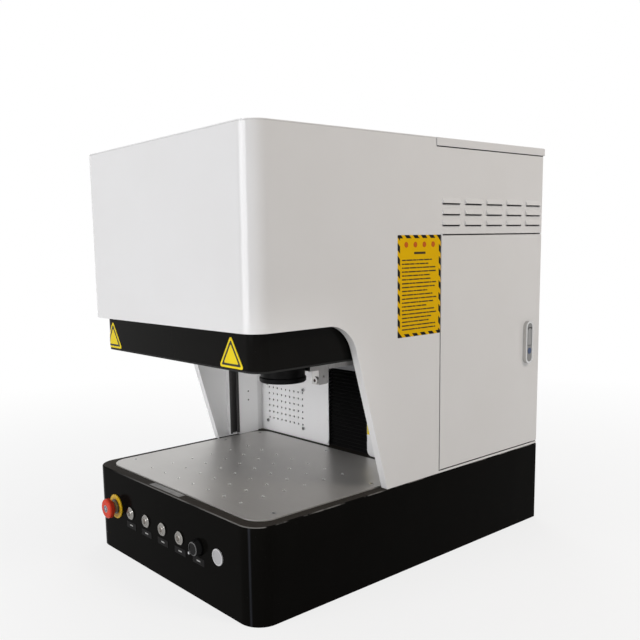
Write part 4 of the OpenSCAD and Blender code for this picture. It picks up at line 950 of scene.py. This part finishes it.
ROWS, PIECES, ROW_LEFT, ROW_LENGTH, BAR_GAP, BAR_HEIGHT = 19, 7, -0.049, 0.098, 0.0012, 0.0023
MARK = [(0.0052, 0.0), (0.0052, 0.0007), (0.0050, 0.0008), (0.0004, 0.0008)]
MARK_RISE, MARK_PITCH = 0.0745, 0.025
row_length = ROW_LENGTH * (0.68 + 0.32 * np.abs(np.sin(np.arange(ROWS) * 2.3 + 0.6)))
cuts = np.cumsum(1 + 0.6 * np.sin(np.arange(ROWS * PIECES).reshape(ROWS, PIECES) * 1.7), axis=1)
ends = np.hstack([np.zeros((ROWS, 1)), cuts / cuts[:, -1:]]) * row_length[:, None]
bars = [bar(ROW_LEFT + (start + stop) / 2, v, stop - start, BAR_HEIGHT, 0.0006)
        for v, row in zip(np.linspace(0.047, -0.078, ROWS), ends)
        for start, stop in zip(row[:-1], row[1:] - BAR_GAP)]
bars.append(bar(0, 0.0595, 0.032, 0.0042, 0.0012))
bar_brown = enamel("bar_brown", (0.060, 0.038, 0.004), (0.040, 0.026, 0.003), 0.4, 0.5,
                   Specular_IOR_Level=0.15)
add_piece("side_plate_bars", join_surfaces(bars), bar_brown)
marks = [turned(MARK, on_side(PLATE_Y + step * MARK_PITCH, PLATE_Z + MARK_RISE), 32)[0]
         for step in (-1.5, -0.5, 0.5, 1.5)]
mark_orange = enamel("mark_orange", (0.64, 0.14, 0.006), (0.56, 0.11, 0.005), 0.4, 0.5,
                     Specular_IOR_Level=0.15)
add_piece("side_plate_marks", join_surfaces(marks), mark_orange)

# %% [markdown]
# ## The shadow under the lid
# The rear lid is a separate tray that sits over the hood's walls, and its edge casts a thin shadow on
# them. A thin dark strip of sheet, half hidden under the lid's edge, is painted shadow on both sides.

# %% Lid shadow strip
SHADOW_STRIP_HEIGHT, SHADOW_STRIP_END, SHADOW_STRIP_TUCK = 0.0018, 0.002, 0.0002
lid_front, lid_foot = box("top_lid")[0][1:]
shadow_strip_length = box("hood_shell")[1][1] - lid_front - 2 * SHADOW_STRIP_END
shadow_strip_y = lid_front + SHADOW_STRIP_END + shadow_strip_length / 2
shadow_strip_z = lid_foot - SHADOW_STRIP_HEIGHT / 2 + SHADOW_STRIP_TUCK
# Painted shadow: a thin dark strip under the lid's edge on each side.
shadow_strips = [plate(oblong(shadow_strip_length, SHADOW_STRIP_HEIGHT), 0.0004, 0.0004, seat, 0.0001)[0]
          for seat in (on_side(shadow_strip_y, shadow_strip_z), ([-side_x, shadow_strip_y, shadow_strip_z], [0, -1, 0], [0, 0, 1]))]
add_piece("lid_shadow_strip", join_surfaces(shadow_strips), rubber_black)

# %% [markdown]
# ## Inside the chamber
# A small plain sticker sits at the edge of the right-hand wall. Each tapped hole of the table has a
# worn bright rim, a narrow cone ring, and the countersunk screws have painted shade for a six-sided
# socket: a thin dark plate. Each post has two small dark screws. The lens has a shallow dome of coated
# glass, and the pointer a dark red window.

# %% Sticker and hole rims
STICKER_SIZE, STICKER_INSET, STICKER_Z = (0.012, 0.024), 0.0068, 0.228
wall_low, _ = box("back_wall_right")
sticker, _ = plate(oblong(*STICKER_SIZE), 0.001, 0.0004,
                   on_front(wall_low[0] + STICKER_INSET, STICKER_Z, wall_low[1]), 0.0001)
add_piece("wall_sticker", sticker, sign.material)

RIM = [(HOLE_RADIUS, -0.0006), (HOLE_RADIUS, 0.00005), (HOLE_RADIUS + 0.0003, 0.00012),
       (HOLE_RADIUS + 0.0006, 0.00002), (HOLE_RADIUS + 0.0006, -0.0006), (HOLE_RADIUS, -0.0006)]
hole_x = (np.arange(HOLE_COLUMNS) - HOLE_COLUMNS // 2) * HOLE_PITCH
hole_y = first_row + np.arange(HOLE_ROWS) * HOLE_PITCH
rims = [turned(RIM, on_top(x, y, table_high[2]), 20, False)[0] for y in hole_y for x in hole_x]
add_piece("hole_rims", join_surfaces(rims), rim_steel, smooth=True)

# %% Screw sockets
SCREW_SIDE, SCREW_SPAN, SCREW_SHARES = 0.230, 0.415, (0.124, 0.7, 0.948)
COVER_HEAD, POST_DEPTH, POST_RISES = 0.004, 0.010, (0.080, 0.101)
HEXAGON = np.stack([np.cos(np.arange(6) * np.pi / 3), np.sin(np.arange(6) * np.pi / 3)], axis=1)


def add_socket_shades(name, radius, seats):
    """Painted shade of six-sided sockets: thin dark plates on the screws' heads."""
    plates = [plate(HEXAGON * radius, 0.0002, 0.0002, seat, 0.00005)[0] for seat in seats]
    add_piece(name, join_surfaces(plates), satin_black)


screw_top = box("table_screws")[1][2]
row_y = [table_low[1] + share * SCREW_SPAN for share in SCREW_SHARES]
screw_at = [(side * SCREW_SIDE, y) for y in row_y for side in (-1, 1)] + [(0.0, row_y[-1])]
add_socket_shades("table_socket_shades", 0.0024, [on_top(x, y, screw_top) for x, y in screw_at])
cover_low, cover_high = box("cover_screws")
add_socket_shades("cover_socket_shades", 0.0022, [
    on_front(x, z, cover_low[1]) for x in (cover_low[0] + COVER_HEAD, cover_high[0] - COVER_HEAD)
    for z in (cover_low[2] + COVER_HEAD, cover_high[2] - COVER_HEAD)])
post_y, post_face = middle("rail_posts")[1], box("rail_posts")[1][0] - POST_DEPTH
post_screws = [turned([(0.0018, -0.0008), (0.0018, 0.0003), (0.0014, 0.0006)],
                      ([side * post_face, post_y, deck_z + rise], [0, -side, 0], [0, 0, 1]), 24)[0]
               for side in (-1, 1) for rise in POST_RISES]
add_piece("post_screws", join_surfaces(post_screws), satin_black)

# %% Lens glass and pointer window
LENS_GLASS, LENS_RECESS, LENS_RISE = 0.0372, 0.0031, 0.0026
WINDOW = [(0.0034, -0.0004), (0.0034, 0.0002), (0.0026, 0.0007), (0.0014, 0.0010), (0.0002, 0.0011)]
lens, lens_foot = middle("scan_lens"), box("scan_lens")[0][2]
lens_seat = ([lens[0], lens[1], lens_foot + LENS_RECESS], [1, 0, 0], [0, -1, 0])
profile = np.vstack([[LENS_GLASS, 0.0], dome(LENS_GLASS, LENS_RISE, np.linspace(1, 0.02, 14))])
add_piece("lens_glass", turned(profile, lens_seat, 64)[0], lens_coating, "scan_head",
          smooth=True)
pointer = middle("pointer")
window_red = enamel("window_red", (0.060, 0.004, 0.004), (0.035, 0.003, 0.003), 0.05, 0.1)
add_piece("pointer_window", turned(WINDOW, on_front(pointer[0], pointer[2], pointer[1]), 32)[0],
          window_red, "scan_head", smooth=True)

# %% [markdown]
# ## Stage and light
# The floor is plain and pale. For the camera and for mirror rays it is nearly white, like the backdrop,
# and keeps a soft shadow near the machine. A wide, low lamp at the front gives the front its brighter
# tone, and a small one with a narrow spread shines into the chamber. A high lamp lights the right-hand
# side and draws the shadows under the louvres and the lid, one behind lights the other two sides, and
# the pale sky lifts the rest. Only the front lamp and a thin strip show in the gloss, the strip as the
# glint on the hood's corner.


# %% Floor and sky
def seen_rays(nodes):
    """1 for the rays that show the backdrop: from the camera, off a mirror or through glass."""
    path = nodes.node("LightPath")
    return nodes.math("MAXIMUM", path["Is Camera Ray"],
                      nodes.math("MAXIMUM", path["Is Glossy Ray"], path["Is Transmission Ray"]))


FLOOR_SIDE, FADE_FROM, FADE_TO, NEAR_GLOW, SKY_LIGHT = 24.0, 0.5, 2.2, 0.78, 0.28
floor_mesh = bpy.data.meshes.new("floor")
floor_mesh.from_pydata([(*corner, 0) for corner in oblong(FLOOR_SIDE, FLOOR_SIDE)], [], [(0, 1, 2, 3)])
floor = bpy.data.objects.new("floor", floor_mesh)
bpy.context.scene.collection.objects.link(floor)
pale = Finish("pale_floor", Base_Color=(0.82, 0.82, 0.82), Roughness=0.9)
distance = pale.node("VectorMath", ((0, pale.where),), operation="LENGTH")["Value"]
glow = pale.math("MULTIPLY", seen_rays(pale), pale.spread(distance, NEAR_GLOW, 1.0, FADE_FROM, FADE_TO))
blend = pale.node("MixShader", (("Fac", glow), (1, pale.shader.outputs["BSDF"]),
                                (2, pale.node("Emission")["Emission"])))
pale.feed(pale.tree.nodes["Material Output"].inputs["Surface"], blend["Shader"])
floor_mesh.materials.append(pale.material)

sky = bpy.data.worlds.new("pale_sky")
bpy.context.scene.world = sky
sky.use_nodes = True
sky_nodes = Nodes(sky.node_tree)
background = sky.node_tree.nodes["Background"]
sky_nodes.feed(background.inputs["Color"], (1.0, 1.0, 1.0))
sky_glow = sky_nodes.spread(seen_rays(sky_nodes), SKY_LIGHT, 1.0, 0.0, 1.0)
sky_nodes.feed(background.inputs["Strength"], sky_glow)
print("stage:", floor.name, "and", sky.name)


# %% Lamps
def soft_lamp(name, at, aim, power, size, tint=(1, 1, 1), spread=180, mirrored=False):
    """An area lamp, width by height, that looks from a point to another, over a spread in degrees."""
    data = bpy.data.lights.new(name, "AREA")
    data.shape, data.energy, data.color = "RECTANGLE", power, tint
    data.size, data.size_y = size
    data.spread = np.radians(spread)
    lamp = bpy.data.objects.new(name, data)
    lamp.visible_camera, lamp.visible_glossy = False, mirrored
    back = np.array(at, dtype=float) - np.array(aim, dtype=float)
    back /= np.linalg.norm(back)
    right = np.cross([0, 0, 1], back)
    right /= np.linalg.norm(right)
    turn = np.eye(4)
    turn[:3, :4] = np.stack([right, np.cross(back, right), back, at], axis=1)
    lamp.matrix_world = Matrix(turn.tolist())
    bpy.context.scene.collection.objects.link(lamp)
    print(name, power, "W")


COOL, WARM = (0.98, 0.98, 1.0), (1.0, 0.91, 0.82)
soft_lamp("front_lamp", (-0.1, -3.2, 0.9), (0, -0.2, 0.45), 44, (2.0, 1.5), COOL, mirrored=True)
soft_lamp("chamber_lamp", (0.75, -0.62, 0.33), (-0.26, -0.06, 0.32), 0.1, (0.2, 0.2), spread=30)
soft_lamp("side_lamp", (2.6, 0.7, 2.4), (0.27, 0, 0.45), 30, (0.8, 0.8), WARM)
soft_lamp("back_lamp", (-2.3, 2.2, 2.2), (0, 0, 0.45), 34, (2.0, 2.0))
soft_lamp("strip_lamp", (-0.25, -3.33, 1.24), (0.24, -0.38, 0.76), 1.2, (0.03, 0.52), mirrored=True)

# %% [markdown]
# ## Camera
# The camera stands where the picture was taken from: the right-hand front corner, a little above the
# middle of the machine. Its place and turn were worked out from the edges of the base and the hood. The
# picture's centre is not on the optical axis, which the lens shift puts right.

# %% Camera
PICTURE, FOCAL_PIXELS, AXIS_PIXEL, SENSOR = 640, 767.70, (258.52, 355.93), 36.0
CAMERA_AT = [1.18646, -1.11273, 0.61183]
RIGHT = np.array([0.62607027, 0.77937769, -0.02462573])
DOWN = np.array([0.09277249, -0.10580595, -0.99004968])
AHEAD = np.array([-0.77422819, 0.61755608, -0.13854677])
camera_data = bpy.data.cameras.new("camera")
camera_data.sensor_width, camera_data.sensor_fit = SENSOR, "HORIZONTAL"
camera_data.lens = FOCAL_PIXELS / PICTURE * SENSOR
camera_data.shift_x = (PICTURE / 2 - AXIS_PIXEL[0]) / PICTURE
camera_data.shift_y = (AXIS_PIXEL[1] - PICTURE / 2) / PICTURE
camera_data.clip_start = 0.05
pose = np.eye(4)
pose[:3, :4] = np.stack([RIGHT, -DOWN, -AHEAD, CAMERA_AT], axis=1)
camera = bpy.data.objects.new("camera", camera_data)
camera.matrix_world = Matrix(pose.tolist())
bpy.context.scene.collection.objects.link(camera)
bpy.context.scene.camera = camera
bpy.context.scene.view_settings.view_transform = "Standard"
print("camera at", CAMERA_AT)
